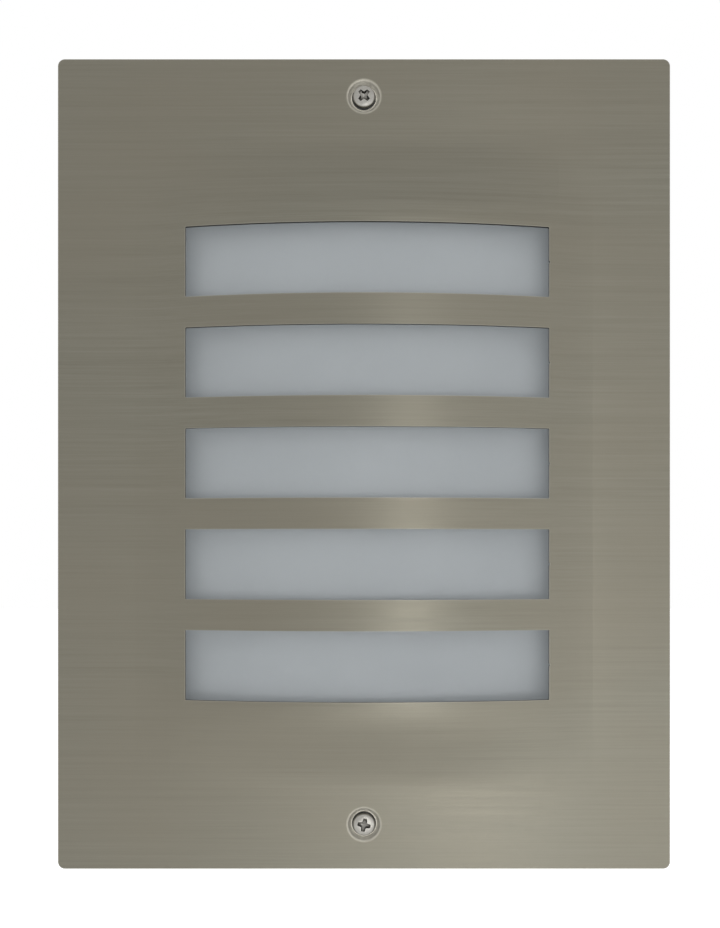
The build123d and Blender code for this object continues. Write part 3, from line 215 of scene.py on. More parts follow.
def brushed_plate():
    """Warm olive grey stainless steel, brushed along X. Its slots' cut faces carry painted shade, and its
    dimples are scuffed bare and lifted by a painted highlight.
    """
    s = Shader("brushed_stainless")
    fine = s.noise(1.0, 5.0, 0.65, s.stretched((30, 400, 2600)))
    long = s.noise(1.0, 3.0, 0.5, s.stretched((7, 60, 900)))
    broad = s.noise(1.0, 2.0, 0.5, s.stretched((9, 9, 16)))
    grain = s.mix(0.45, fine, long)
    dark, middle, light = (0.158, 0.150, 0.121), (0.188, 0.180, 0.146), (0.220, 0.211, 0.175)
    warm, rubbed = (0.196, 0.179, 0.140), (0.42, 0.41, 0.36)
    # The pale dimple colour is scuffed bare steel lifted by a painted highlight.
    bare_and_lit, slot_edge_shade = (0.68, 0.65, 0.56), (0.030, 0.028, 0.025)
    tone = s.ramp(grain, [(0.25, dark), (0.5, middle), (0.75, light)])
    mottled = s.mix(s.spread(broad, 0.35, 0.65, 0.0, 0.5), tone, warm)
    worn = s.mix(s.math("MULTIPLY", s.edges(0.0005), 0.35), mottled, rubbed)
    scuffed_and_lit = scuffed_lit_dimples(s)
    # Painted shade: the slots' cut faces are darkened to near black.
    s.colour(s.mix(slot_edges(s), s.mix(scuffed_and_lit, worn, bare_and_lit), slot_edge_shade))
    s.link(s.spread(scuffed_and_lit, 0.0, 1.0, 1.0, 0.1), s.bsdf.inputs["Metallic"])
    s.set(anisotropic=0.7)
    s.roughness(s.math("ADD", s.spread(grain, 0.3, 0.7, 0.28, 0.44), s.math("MULTIPLY", scuffed_and_lit, 0.2)))
    s.bump(grain, 0.00003, 0.4)
    upright = s.node("ShaderNodeCombineXYZ")
    upright.inputs["Z"].default_value = 1.0
    s.link(upright.outputs["Vector"], s.bsdf.inputs["Tangent"])
    return s.material


def opal_diffuser():
    """Satin opal polycarbonate, a little blue, with a faint painted glow in its own colour though the lamp
    is off.
    """
    s = Shader("opal_polycarbonate")
    tone = s.ramp(s.noise(14.0, 3.0, 0.5), [(0.3, (0.236, 0.253, 0.264)), (0.7, (0.258, 0.276, 0.287))])
    s.colour(tone)
    # Painted glow: the surface emits its own colour, standing in for light scattered through it from behind.
    s.link(tone, s.bsdf.inputs["Emission Color"])
    s.set(ior=1.49, emission_strength=0.42)
    s.set(subsurface_weight=1.0, subsurface_scale=0.012, subsurface_radius=(1.0, 1.0, 1.0))
    s.roughness(s.spread(s.noise(900.0, 4.0, 0.6), 0.3, 0.7, 0.38, 0.5))
    s.bump(s.noise(2600.0, 4.0, 0.6), 0.00002, 0.4)
    return s.material


def foam(name, dark, light):
    """Closed-cell rubber foam with broken cells on its cut faces."""
    s = Shader(name)
    cell = s.cells(1700.0)
    broad = s.noise(160.0, 4.0, 0.6)
    s.colour(s.mix(s.spread(broad, 0.3, 0.7, 0.0, 1.0), s.ramp(cell, [(0.0, dark), (0.6, light)]), dark))
    s.roughness(s.spread(cell, 0.0, 0.6, 0.75, 0.95))
    s.bump(cell, 0.00012, 0.7)
    s.set(specular_ior_level=0.3)
    return s.material


# Colour and reach of the painted shade in hollows.
PAINTED_SHADE_COLOUR = (0.03, 0.028, 0.025)
PAINTED_SHADE_REACH = 0.002


def metal(name, dark, light, rough, grain=(700, 700, 700), wear=(0.75, 0.75, 0.73), hollow_shade=0.0):
    """Plain worked metal with a fine grain, brighter rubbed edges and, when asked for, painted shade that
    darkens its hollows.
    """
    s = Shader(name)
    fine = s.noise(1.0, 6.0, 0.65, s.stretched(grain))
    broad = s.noise(45.0, 4.0, 0.6)
    blend = s.mix(0.5, fine, broad)
    tone = s.ramp(blend, [(0.3, dark), (0.7, light)])
    worn = s.mix(s.math("MULTIPLY", s.edges(0.00035), 0.5), tone, wear)
    if hollow_shade:
        # Painted shade: an occlusion probe darkens hollows such as cross recesses towards near black.
        hollow = s.node("ShaderNodeAmbientOcclusion", samples=8)
        hollow.inputs["Distance"].default_value = PAINTED_SHADE_REACH
        worn = s.mix(s.spread(hollow.outputs["AO"], 0.45, 0.92, hollow_shade, 0.0), worn, PAINTED_SHADE_COLOUR)
    s.colour(worn)
    s.set(metallic=1.0)
    s.roughness(s.spread(blend, 0.3, 0.7, rough[0], rough[1]))
    s.bump(fine, 0.00002, 0.5)
    return s.material


def cast_coat():
    """Dark powder coat over a pressure casting, rubbed on its edges."""
    s = Shader("cast_coat")
    pebble = s.noise(1500.0, 4.0, 0.55)
    broad = s.noise(20.0, 4.0, 0.6)
    tone = s.ramp(broad, [(0.3, (0.045, 0.047, 0.048)), (0.7, (0.066, 0.068, 0.069))])
    speck = s.ramp(s.noise(380.0, 3.0, 0.7), [(0.62, 0.0), (0.72, 1.0)])
    dusty = s.mix(s.math("MULTIPLY", speck, 0.12), tone, (0.16, 0.16, 0.155))
    patchy = s.spread(s.noise(130.0, 5.0, 0.7), 0.45, 0.62, 0.0, 0.85)
    worn = s.math("MULTIPLY", s.edges(0.0007, 0.05, 0.5), patchy)
    s.colour(s.mix(worn, dusty, (0.23, 0.23, 0.225)))
    s.roughness(s.spread(pebble, 0.3, 0.7, 0.48, 0.66))
    s.bump(pebble, 0.00009, 0.6)
    s.bump(s.noise(60.0, 3.0, 0.5), 0.0002, 0.25)
    return s.material


def coated(name, dark, light, rough, pebble_scale, relief, specks=0.0):
    """Paint, powder or moulded plastic with an orange-peel surface."""
    s = Shader(name)
    peel = s.noise(pebble_scale, 4.0, 0.55)
    broad = s.noise(24.0, 4.0, 0.6)
    tone = s.ramp(broad, [(0.3, dark), (0.7, light)])
    if specks:
        dust = s.ramp(s.noise(420.0, 4.0, 0.75), [(0.60, 0.0), (0.75, 1.0)])
        grey = tuple(0.72 * c for c in dark)
        tone = s.mix(s.math("MULTIPLY", dust, specks), tone, grey)
    s.colour(tone)
    s.roughness(s.spread(peel, 0.3, 0.7, rough[0], rough[1]))
    s.bump(peel, relief, 0.6)
    return s.material


def glazed():
    """White porcelain under a clear glaze."""
    s = Shader("glazed_porcelain")
    pools = s.noise(70.0, 4.0, 0.6)
    tone = s.ramp(pools, [(0.3, (0.68, 0.66, 0.60)), (0.7, (0.76, 0.75, 0.70))])
    pin = s.ramp(s.noise(900.0, 2.0, 0.5), [(0.70, 0.0), (0.76, 1.0)])
    s.colour(s.mix(s.math("MULTIPLY", pin, 0.5), tone, (0.42, 0.38, 0.32)))
    s.set(coat_weight=0.6, coat_roughness=0.06)
    s.roughness(s.spread(pools, 0.3, 0.7, 0.16, 0.28))
    s.bump(s.noise(55.0, 3.0, 0.5), 0.0002, 0.2)
    return s.material


def sleeve(name, dark, light, stripe=None):
    """Extruded insulation, with bands of a second colour where it is an earth lead."""
    s = Shader(name)
    tone = s.ramp(s.noise(140.0, 4.0, 0.6), [(0.3, dark), (0.7, light)])
    if stripe:
        wave = s.node("ShaderNodeTexWave", wave_type="BANDS", bands_direction="DIAGONAL")
        wave.inputs["Scale"].default_value = 90.0
        s.link(s.place, wave.inputs["Vector"])
        tone = s.mix(s.ramp(wave.outputs["Fac"], [(0.46, 0.0), (0.54, 1.0)]), tone, stripe)
    s.colour(tone)
    s.roughness(s.spread(s.noise(700.0, 3.0, 0.6), 0.3, 0.7, 0.36, 0.5))
    s.bump(s.noise(1800.0, 4.0, 0.6), 0.00002, 0.4)
    return s.material


def circuit_board():
    """White solder mask on an aluminium board."""
    s = Shader("white_board")
    s.colour(s.ramp(s.noise(200.0, 4.0, 0.6), [(0.3, (0.66, 0.67, 0.66)), (0.7, (0.74, 0.75, 0.74))]))
    s.roughness(s.spread(s.noise(900.0, 3.0, 0.6), 0.3, 0.7, 0.3, 0.42))
    s.bump(s.noise(2200.0, 3.0, 0.5), 0.00002, 0.4)
    return s.material


def globe_opal():
    """White diffusing lamp envelope."""
    s = Shader("globe_opal")
    s.colour(s.ramp(s.noise(60.0, 3.0, 0.5), [(0.3, (0.72, 0.72, 0.70)), (0.7, (0.77, 0.77, 0.755))]))
    s.set(ior=1.5)
    s.roughness(s.spread(s.noise(500.0, 3.0, 0.5), 0.3, 0.7, 0.22, 0.34))
    s.bump(s.noise(1200.0, 3.0, 0.5), 0.00002, 0.3)
    return s.material


# The finish of each material slot that the record names.
MATERIALS = {
    "stainless": brushed_plate(),
    "opal": opal_diffuser(),
    "foam": foam("foam_strip", (0.017, 0.017, 0.018), (0.040, 0.040, 0.041)),
    "bright_steel": metal("mill_steel", (0.52, 0.52, 0.50), (0.64, 0.64, 0.62), (0.28, 0.42), (60, 60, 900)),
    "fixings": metal("zinc_plate", (0.48, 0.49, 0.48), (0.66, 0.67, 0.65), (0.22, 0.40)),
    # The fascia screws' steel carries painted shade in its cross recesses.
    "screw_steel": metal(
        "screw_stainless", (0.27, 0.26, 0.235), (0.40, 0.39, 0.36), (0.24, 0.38),
        wear=(0.62, 0.61, 0.57), hollow_shade=0.9,
    ),
    "black_rubber": coated(
        "black_rubber", (0.020, 0.020, 0.020), (0.032, 0.032, 0.032), (0.6, 0.75), 900.0, 0.00004,
    ),
    "cast_box": cast_coat(),
    "brass": metal("brass", (0.58, 0.42, 0.17), (0.74, 0.56, 0.26), (0.2, 0.36), wear=(0.86, 0.70, 0.38)),
    "white_tray": coated(
        "tray_white", (0.66, 0.66, 0.64), (0.74, 0.74, 0.72), (0.3, 0.42), 1100.0, 0.00006, 0.2,
    ),
    "porcelain": glazed(),
    "nickel_brass": metal("nickel_plate", (0.55, 0.52, 0.46), (0.70, 0.67, 0.60), (0.18, 0.34)),
    "terminal_plastic": coated(
        "terminal_plastic", (0.58, 0.57, 0.52), (0.66, 0.65, 0.60), (0.34, 0.46), 1500.0, 0.00003, 0.1,
    ),
    "tinned": metal("tinned_copper", (0.60, 0.59, 0.56), (0.74, 0.73, 0.70), (0.24, 0.4)),
    "lead_brown": sleeve("lead_brown", (0.085, 0.040, 0.020), (0.115, 0.055, 0.028)),
    "lead_blue": sleeve("lead_blue", (0.020, 0.085, 0.280), (0.030, 0.115, 0.350)),
    "lead_green": sleeve("lead_green", (0.035, 0.240, 0.050), (0.050, 0.300, 0.065), (0.72, 0.56, 0.04)),
    "gland_plastic": coated(
        "gland_nylon", (0.030, 0.031, 0.033), (0.048, 0.049, 0.051), (0.4, 0.55), 1600.0, 0.00003,
    ),
    "black_glass": coated(
        "black_glass", (0.012, 0.012, 0.014), (0.020, 0.020, 0.022), (0.08, 0.16), 400.0, 0.00002,
    ),
    "white_plastic": coated(
        "lamp_plastic", (0.66, 0.66, 0.64), (0.72, 0.72, 0.70), (0.26, 0.36), 1300.0, 0.00002, 0.08,
    ),
    "aluminium_board": circuit_board(),
    "lamp_opal": globe_opal(),
}


def dress_nodes():
    """Gives every CAD node the material of the record's slot that it names."""
    for part in frame["record"]["subparts"]:
        mesh = frame["nodes"][part["node"]].data
        mesh.materials.clear()
        mesh.materials.append(MATERIALS[part["material_slot"]])


# ---------------------------------------------------------------- placements
UPWARDS = Matrix.Identity(4)
INTO_WALL = Matrix(((1, 0, 0), (0, 0, 1), (0, -1, 0))).to_4x4()


def at(x, y, z, turned=UPWARDS):
    """A placement in millimetres for a shape that is made round its own +Z."""
    return Matrix.Translation(Vector((x, y, z)) * MM) @ turned


def turned_by(angle):
    """A turn round the shape's own axis, in radians."""
    return Matrix.Rotation(angle, 4, "Z")


def facing_wall(points, y):
    """Placements for shapes that point into the wall from depth y, one for each (x, z)."""
    return [at(x, y, z, INTO_WALL) for x, z in points]


# ---------------------------------------------------------------- turned, threaded and prismatic shapes
def spin(bm, place, profile, segments=48, bored=False, shift=0.0):
    """Adds a turned shape from (radius, height) rings. A radius may be a function of the angle."""
    rings = []
    for radius, height in profile:
        if not callable(radius) and radius <= 0:
            rings.append([bm.verts.new(place @ (Vector((0, 0, height)) * MM))])
            continue
        ring = []
        for i in range(segments):
            angle = 2 * math.pi * i / segments + shift
            r = radius(angle) if callable(radius) else radius
            spot = Vector((r * math.cos(angle), r * math.sin(angle), height))
            ring.append(bm.verts.new(place @ (spot * MM)))
        rings.append(ring)
    pairs = list(zip(rings, rings[1:])) + ([(rings[-1], rings[0])] if bored else [])
    for low, high in pairs:
        for i in range(segments):
            j = (i + 1) % segments
            if len(low) == 1 and len(high) > 1:
                bm.faces.new((low[0], high[j], high[i]))
            elif len(high) == 1 and len(low) > 1:
                bm.faces.new((low[i], low[j], high[0]))
            elif len(low) > 1:
                bm.faces.new((low[i], low[j], high[j], high[i]))


def prism(bm, place, levels):
    """Adds a closed shape from (outline, height) levels with as many (x, y) points each."""
    rings = []
    for outline, height in levels:
        rings.append([bm.verts.new(place @ (Vector((x, y, height)) * MM)) for x, y in outline])
    for low, high in zip(rings, rings[1:]):
        for i in range(len(low)):
            j = (i + 1) % len(low)
            bm.faces.new((low[i], low[j], high[j], high[i]))
    bm.faces.new(tuple(reversed(rings[0])))
    bm.faces.new(tuple(rings[-1]))


def rectangle(half_x, half_y):
    return [(u * half_x, v * half_y) for u, v in ((-1, -1), (1, -1), (1, 1), (-1, 1))]


def both_ends(half, height):
    """A profile of this height whose second half mirrors its first."""
    return half + [(radius, height - up) for radius, up in reversed(half)]


THREAD_RINGS = 8
THREAD_FLAT = 0.1
THREAD_FADE = 0.5


def thread(root, crest, pitch, start, end, rolled=False):
    """Profile rings of a right-handed thread between two heights, faded out at both."""
    steps = max(6, round(abs(end - start) / pitch * THREAD_RINGS))

    def ring(height):
        run_out = THREAD_FADE * pitch
        fade = min(1.0, abs(height - start) / run_out, abs(end - height) / run_out)

        def radius(angle):
            phase = (height / pitch - angle / (2 * math.pi)) % 1.0
            if rolled:
                rise = 0.5 - 0.5 * math.cos(2 * math.pi * phase)
            else:
                flank = (1 - abs(2 * phase - 1) - THREAD_FLAT) / (1 - 2 * THREAD_FLAT)
                rise = min(1.0, max(0.0, flank))
            return root + (crest - root) * rise * fade

        return radius

    heights = [start + (end - start) * i / steps for i in range(steps + 1)]
    return [(ring(height), height) for height in heights]


def other_side(wall, by):
    """The far side of a thin threaded wall: the same rings in reverse, each wider by a fixed amount."""
    return [((lambda angle, radius=radius: radius(angle) + by), height) for radius, height in reversed(wall)]


def rippled(radius, depth, waves, lean=0.0):
    """A radius that dips by up to this depth, this many times round."""
    return lambda angle: radius(angle) - depth * (0.5 + 0.5 * math.cos(waves * angle + lean))


def hexagon(across, limit=math.inf):
    """Radius of a hexagon at an angle, cut down to a circle where it is chamfered."""
    def radius(angle):
        off = (angle + math.pi / 6) % (math.pi / 3) - math.pi / 6
        return min(across / 2 / math.cos(off), limit)

    return radius


def hex_nut(bm, place, across, bore, height, pitch):
    """A chamfered hexagon nut whose bore is threaded."""
    chamfer_r = 0.51 * across
    face_r = 0.93 * chamfer_r
    drop = 0.0522 * across
    mouth_r = 1.09 * bore
    end = [(face_r, 0), (hexagon(across, chamfer_r), 0.35 * drop), (hexagon(across), 1.6 * drop)]
    inside = thread(bore, bore * 1.07, pitch, height - 0.3, 0.3)
    spin(bm, place, both_ends(end, height) + [(mouth_r, height)] + inside + [(mouth_r, 0)], 72, bored=True)


def cross_cutter(bm, place, size, depth, turn):
    """Adds the driver-shaped solid that leaves a cross recess."""
    wing = 0.27 * size
    levels = []
    for tip, half, height in (
        (0.53 * size, 0.53 * wing, -0.5),
        (0.50 * size, 0.50 * wing, 0.12),
        (0.30 * size, 0.36 * wing, 0.72 * depth),
        (0.06, 0.05, depth),
    ):
        inner = 1.45 * half
        outline = []
        for quarter in range(4):
            angle = quarter * math.pi / 2
            for along, across in ((tip, -half), (tip, half), (inner, inner)):
                x = along * math.cos(angle) - across * math.sin(angle)
                y = along * math.sin(angle) + across * math.cos(angle)
                outline.append((x, y))
        levels.append((outline, height))
    prism(bm, place @ turned_by(math.radians(turn)), levels)


def slit_cutter(bm, place, half_length, half_width, low, high, turn):
    """Adds the box that leaves a straight driver slot between two heights."""
    outline = rectangle(half_length, half_width)
    prism(bm, place @ turned_by(math.radians(turn)), [(outline, low), (outline, high)])


# ---------------------------------------------------------------- finished pieces
SHARP = 32
SHARP_HEXAGON = 24
SHARP_ROLLED = 60


def soften(mesh, sharp):
    """Smooth shading, with edges kept that turn by more than this angle in degrees."""
    bm = bmesh.new()
    bm.from_mesh(mesh)
    for face in bm.faces:
        face.smooth = True
    for edge in bm.edges:
        edge.smooth = len(edge.link_faces) == 2 and edge.calc_face_angle(0) < math.radians(sharp)
    bm.to_mesh(mesh)
    bm.free()


def finish_mesh(bm, name, sharp=SHARP):
    """A mesh object with soft curves and sharp corners."""
    bmesh.ops.recalc_face_normals(bm, faces=bm.faces)
    mesh = bpy.data.meshes.new(name)
    bm.to_mesh(mesh)
    bm.free()
    soften(mesh, sharp)
    made = bpy.data.objects.new(name, mesh)
    bpy.context.scene.collection.objects.link(made)
    return made


def carved(piece, cutter):
    """Takes the cutter out of the piece and removes it."""
    cut = piece.modifiers.new("cut", "BOOLEAN")
    cut.operation = "DIFFERENCE"
    cut.solver = "EXACT"
    cut.object = cutter
    bpy.context.view_layer.update()
    graph = bpy.context.evaluated_depsgraph_get()
    mesh = bpy.data.meshes.new_from_object(piece.evaluated_get(graph))
    piece.modifiers.clear()
    old = piece.data
    piece.data = mesh
    bpy.data.meshes.remove(old)
    bpy.data.objects.remove(cutter)
    soften(mesh, SHARP)
    return piece


def fit(piece, slot, body, *nodes):
    """Gives a piece its finish, the CAD nodes it stands for and the body it rides on."""
    piece.data.materials.clear()
    piece.data.materials.append(MATERIALS[slot])
    if nodes:
        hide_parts(*nodes)
    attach(piece, body)


# ---------------------------------------------------------------- pan head screws
COARSE_M4 = 0.7
COARSE_M3 = 0.5
# The head's radius and height, the shank's radius, the cross recess's width and the thread's pitch.
# A screw without a cross has a straight slot.
M4_FASCIA = {"head_r": 4.0, "head_h": 2.0, "shank_r": 2.0, "cross": 4.7, "pitch": COARSE_M4}
M4_PAN = {"head_r": 3.8, "head_h": 2.2, "shank_r": 2.0, "cross": 4.0, "pitch": COARSE_M4}
M3_SMALL = {"head_r": 1.75, "head_h": 1.6, "shank_r": 1.5, "cross": 2.0, "pitch": COARSE_M3}
M3_SLOTTED = {"head_r": 2.8, "head_h": 1.8, "shank_r": 1.5, "cross": None, "pitch": COARSE_M3}
# The head's outline from its top to its rim, as shares of its radius and height.
PAN_DOME = (
    (0, 0), (0.35, 0.004), (0.60, 0.025), (0.76, 0.07), (0.87, 0.15),
    (0.94, 0.27), (0.985, 0.45), (1.0, 0.66), (1.0, 0.88), (0.975, 0.97),
)
RECESS_SHARE = 0.85
SLIT_SHARE = 0.42
SLIT_HALF_WIDTH = 0.42


def pan_heads(name, places, turns, length, head_r, head_h, shank_r, cross, pitch):
    """Pan head screws with a driver recess and a real thread, as one piece. Each place is a head's top."""
    heads, cutters = bmesh.new(), bmesh.new()
    end = head_h + length
    profile = [(share * head_r, up * head_h) for share, up in PAN_DOME]
    profile += [(shank_r + 0.35, head_h), (0.96 * shank_r, head_h + 0.25)]
    profile += thread(0.84 * shank_r, shank_r, pitch, head_h + 0.5, end - 0.8)
    profile += [(0.80 * shank_r, end - 0.35), (0.62 * shank_r, end), (0, end)]
    for place, turn in zip(places, turns):
        spin(heads, place, profile)
        if cross:
            cross_cutter(cutters, place, cross, RECESS_SHARE * head_h, turn)
        else:
            slit_cutter(cutters, place, head_r + 0.5, SLIT_HALF_WIDTH, -0.5, SLIT_SHARE * head_h, turn)
    return carved(finish_mesh(heads, name), finish_mesh(cutters, name + "_cutter"))


# ---------------------------------------------------------------- fascia hardware
SEAL_FRONT_Y = -2.1
SEAL_T = 0.6
SEAL_R = 4.3
SEAL_BORE_R = 2.08
SCREW_LENGTH = 16.0

STUDS = [(x, z) for z in (121.1, 0.0, -121.1) for x in (-86.5, 86.5)]
STUD_FOOT_Y = -2.0
STUD_FOOT_R = 2.75
STUD_LENGTH = 14.0
WASHER_Y = 6.0
WASHER_R = 4.5
WASHER_BORE_R = 2.26
WASHER_T = 0.8
M4_R = 2.0
M4_NUT_ACROSS = 7.0
M4_NUT_H = 3.2


def fascia_screws():
    """Each fascia screw and the rubber washer that seals under its head."""
    rim = [(SEAL_R, 0.2), (SEAL_R - 0.1, 0.05), (SEAL_R - 0.3, 0.0)]
    rim += [(SEAL_BORE_R + 0.12, 0.0), (SEAL_BORE_R, 0.1)]
    for which, (x, z, turn) in SCREWS.items():
        head_top = facing_wall([(x, z)], SEAL_FRONT_Y - M4_FASCIA["head_h"])
        screw = pan_heads(f"fascia_screw_{which}", head_top, [turn], SCREW_LENGTH, **M4_FASCIA)
        fit(screw, "screw_steel", f"{which}_screw", f"screw_{which}")
        seal = bmesh.new()
        spin(seal, at(x, SEAL_FRONT_Y, z, INTO_WALL), both_ends(rim, SEAL_T), 64, bored=True)
        seal = finish_mesh(seal, f"sealing_washer_{which}")
        fit(seal, "black_rubber", f"{which}_washer", f"seal_washer_{which}")


def frame_hardware():
    """The weld studs on the plate's back, with the washers and nuts that hold the retaining frame."""
    studs, nuts, washers = bmesh.new(), bmesh.new(), bmesh.new()
    stud = [(0, 0), (STUD_FOOT_R, 0), (STUD_FOOT_R, 0.55), (STUD_FOOT_R - 0.15, 0.7), (1.75, 0.75)]
    stud += thread(1.68, M4_R, COARSE_M4, 1.2, STUD_LENGTH - 0.6)
    stud += [(1.55, STUD_LENGTH - 0.2), (1.4, STUD_LENGTH), (0, STUD_LENGTH)]
    rim = [(WASHER_R, 0.12), (WASHER_R - 0.1, 0), (WASHER_BORE_R + 0.14, 0), (WASHER_BORE_R, 0.12)]
    for i, (x, z) in enumerate(STUDS):
        spin(studs, at(x, STUD_FOOT_Y, z, INTO_WALL), stud, 40, shift=i)
        nut_place = at(x, WASHER_Y + WASHER_T, z, INTO_WALL @ turned_by(0.4 + 1.1 * i))
        hex_nut(nuts, nut_place, M4_NUT_ACROSS, M4_R, M4_NUT_H, COARSE_M4)
        spin(washers, at(x, WASHER_Y, z, INTO_WALL), both_ends(rim, WASHER_T), bored=True)
    fit(finish_mesh(studs, "threaded_studs"), "fixings", "fascia", "frame_studs")
    fit(finish_mesh(nuts, "stud_nuts", SHARP_HEXAGON), "fixings", "fascia", "frame_nuts")
    fit(finish_mesh(washers, "stud_washers"), "fixings", "fascia", "frame_washers")


# ---------------------------------------------------------------- fixings inside the box
TRAY_SCREWS = ((-48, -22), (48, -22), (-48, 78), (48, 78))
TRAY_BACK_Y = 81.0
BRACKET_SCREWS = ((-11, -76), (11, -76))
TERMINAL_SCREWS = ((32, -108), (44, -108))
BACK_BOSS_Y = 80.0
EARTH_SCREW = (-40, -108)
EARTH_LUG_Y = 80.4
LAMP_Y = 46.0
HOLDER_SCREW_X = 13.0
HOLDER_SCREW_TOP_Z = -95.3

INSERT_Y = 3.6
INSERT_LENGTH = 10.0
INSERT_R = 2.8
KNURL_DEPTH = 0.16
KNURL_TEETH = 24
KNURL_RINGS = 7


def box_fixings():
    """The screws that hold the tray, the holder, the terminal block and the earth lug."""
    def screws(name, points, seat_y, size, length, turns):
        return pan_heads(name, facing_wall(points, seat_y - size["head_h"]), turns, length, **size)

    tray = screws("tray_pan_screws", TRAY_SCREWS, TRAY_BACK_Y, M4_PAN, 7.5, (20, 65, 40, 5))
    fit(tray, "fixings", "housing", "tray_screws")
    bracket = screws("bracket_pan_screws", BRACKET_SCREWS, BACK_BOSS_Y, M4_PAN, 8.0, (30, 75))
    fit(bracket, "fixings", "housing", "bracket_screws")
    terminal = screws("terminal_fixing_screws", TERMINAL_SCREWS, BACK_BOSS_Y, M3_SMALL, 9.0, (15, 50))
    fit(terminal, "fixings", "housing", "terminal_fixings")
    earth = screws("earth_pan_screw", [EARTH_SCREW], EARTH_LUG_Y, M4_PAN, 8.0, [25])
    fit(earth, "brass", "housing", "earth_screw")
    heads = [at(x, LAMP_Y, HOLDER_SCREW_TOP_Z) for x in (-HOLDER_SCREW_X, HOLDER_SCREW_X)]
    holder = pan_heads("holder_pan_screws", heads, (0, 25), 8.0, **M3_SLOTTED)
    fit(holder, "fixings", "housing", "holder_screws")


def knurl(start, lean):
    """Profile rings of slanted teeth, from a height on."""
    step = 0.55
    return [
        (rippled(lambda angle: INSERT_R, KNURL_DEPTH, KNURL_TEETH, lean * ring), start + step * ring)
        for ring in range(KNURL_RINGS)
    ]


def pillar_brass():
    """Knurled brass inserts that the fascia screws go into."""
    inserts = bmesh.new()
    outside = [(2.6, 0)] + knurl(0.6, 3) + [(2.55, 4.3), (2.55, 5.6)] + knurl(6.0, -3)
    bore = thread(2.03, 2.2, COARSE_M4, INSERT_LENGTH - 0.4, 0.4)
    profile = outside + [(2.6, INSERT_LENGTH), (2.3, INSERT_LENGTH)] + bore + [(2.3, 0)]
    for x, z, _ in SCREWS.values():
        spin(inserts, at(x, INSERT_Y, z, INTO_WALL), profile, 96, bored=True)
    fit(finish_mesh(inserts, "knurled_inserts"), "brass", "housing", "pillar_inserts")


# ---------------------------------------------------------------- cable entries
# Heights are the part's own Z.
GLAND_X, PLUG_X, ENTRY_Y = -50, 50, 62
ENTRY_PITCH = 1.5
LOCK_NUT_Z = -134.2
LOCK_NUT_ACROSS = 26.0
LOCK_NUT_H = 5.0
ENTRY_R = 10.0
FLANGE_TOP_Z = -138.2
THREAD_TOP_Z = -127.2
BODY_HEX_Z = -145.2
BODY_FOOT_Z = -151.2
DOME_TOP_Z = -145.7
DOME_FOOT_Z = -157.2
DOME_FLUTES = 36
GLAND_ACROSS = 24.0
GLAND_CORNER_R = 12.9
PLUG_FACE_Z = -142.2
PLUG_R = 13.4
PLUG_GRIPS = 60


def entry_thread():
    """The outside thread of the gland's body and of the plug, up to its chamfered end."""
    threaded = thread(9.15, 9.98, ENTRY_PITCH, FLANGE_TOP_Z + 0.3, THREAD_TOP_Z - 0.7)
    return [(9.3, FLANGE_TOP_Z)] + threaded + [(9.1, THREAD_TOP_Z)]


def lock_nuts():
    """The nuts that clamp the gland's body and the plug from inside the box."""
    entries = (("gland_lock_nut", "gland_locknut", GLAND_X), ("plug_lock_nut", "plug_nut", PLUG_X))
    for name, node, x in entries:
        nut = bmesh.new()
        hex_nut(nut, at(x, ENTRY_Y, LOCK_NUT_Z), LOCK_NUT_ACROSS, ENTRY_R, LOCK_NUT_H, ENTRY_PITCH)
        fit(finish_mesh(nut, name, SHARP_HEXAGON), "gland_plastic", "housing", node)


def gland_body():
    """The gland's middle piece: a short neck below its hexagon and a thread above it."""
    cut, full = hexagon(GLAND_ACROSS, GLAND_CORNER_R), hexagon(GLAND_ACROSS)
    neck = [(10.0, BODY_FOOT_Z), (10.35, BODY_FOOT_Z + 0.3), (10.35, BODY_HEX_Z - 1.3), (10.1, BODY_HEX_Z)]
    nut = [(11.6, BODY_HEX_Z), (cut, BODY_HEX_Z + 0.3), (full, BODY_HEX_Z + 1.0)]
    nut += [(full, FLANGE_TOP_Z - 1.0), (cut, FLANGE_TOP_Z - 0.3), (11.6, FLANGE_TOP_Z)]
    inside = [(7.3, THREAD_TOP_Z), (7.0, THREAD_TOP_Z - 0.4), (7.0, BODY_HEX_Z)]
    inside += [(8.02, BODY_HEX_Z - 0.1), (8.02, BODY_FOOT_Z + 0.2)]
    body = bmesh.new()
    spin(body, at(GLAND_X, ENTRY_Y, 0), neck + nut + entry_thread() + inside, 96, bored=True)
    fit(finish_mesh(body, "gland_threaded_body", SHARP_HEXAGON), "gland_plastic", "housing", "gland_body")


def gland_dome_nut():
    """The clamping nut: a ribbed hexagon above a rounded nose."""
    cut = hexagon(GLAND_ACROSS, GLAND_CORNER_R)
    ribbed = rippled(hexagon(GLAND_ACROSS), 0.25, DOME_FLUTES)
    nose = ((6.3, 0.0), (7.3, 0.0), (8.6, 0.3), (9.7, 1.0), (10.5, 2.0), (11.4, 4.0), (11.9, 5.6))
    outside = [(radius, DOME_FOOT_Z + up) for radius, up in nose]
    outside += [(cut, DOME_FOOT_Z + 6.2), (ribbed, DOME_FOOT_Z + 7.0)]
    outside += [(ribbed, DOME_TOP_Z - 1.1), (cut, DOME_TOP_Z - 0.3), (11.7, DOME_TOP_Z)]
    inside = [(10.55, DOME_TOP_Z), (10.52, BODY_FOOT_Z + 0.1), (8.05, BODY_FOOT_Z)]
    inside += [(8.05, DOME_FOOT_Z + 3.1), (6.3, DOME_FOOT_Z + 2.9), (6.2, DOME_FOOT_Z + 0.3)]
    dome = bmesh.new()
    spin(dome, at(GLAND_X, ENTRY_Y, 0), outside + inside, 144, bored=True)
    fit(finish_mesh(dome, "gland_clamping_nut", SHARP_HEXAGON), "gland_plastic", "housing", "gland_dome_nut")


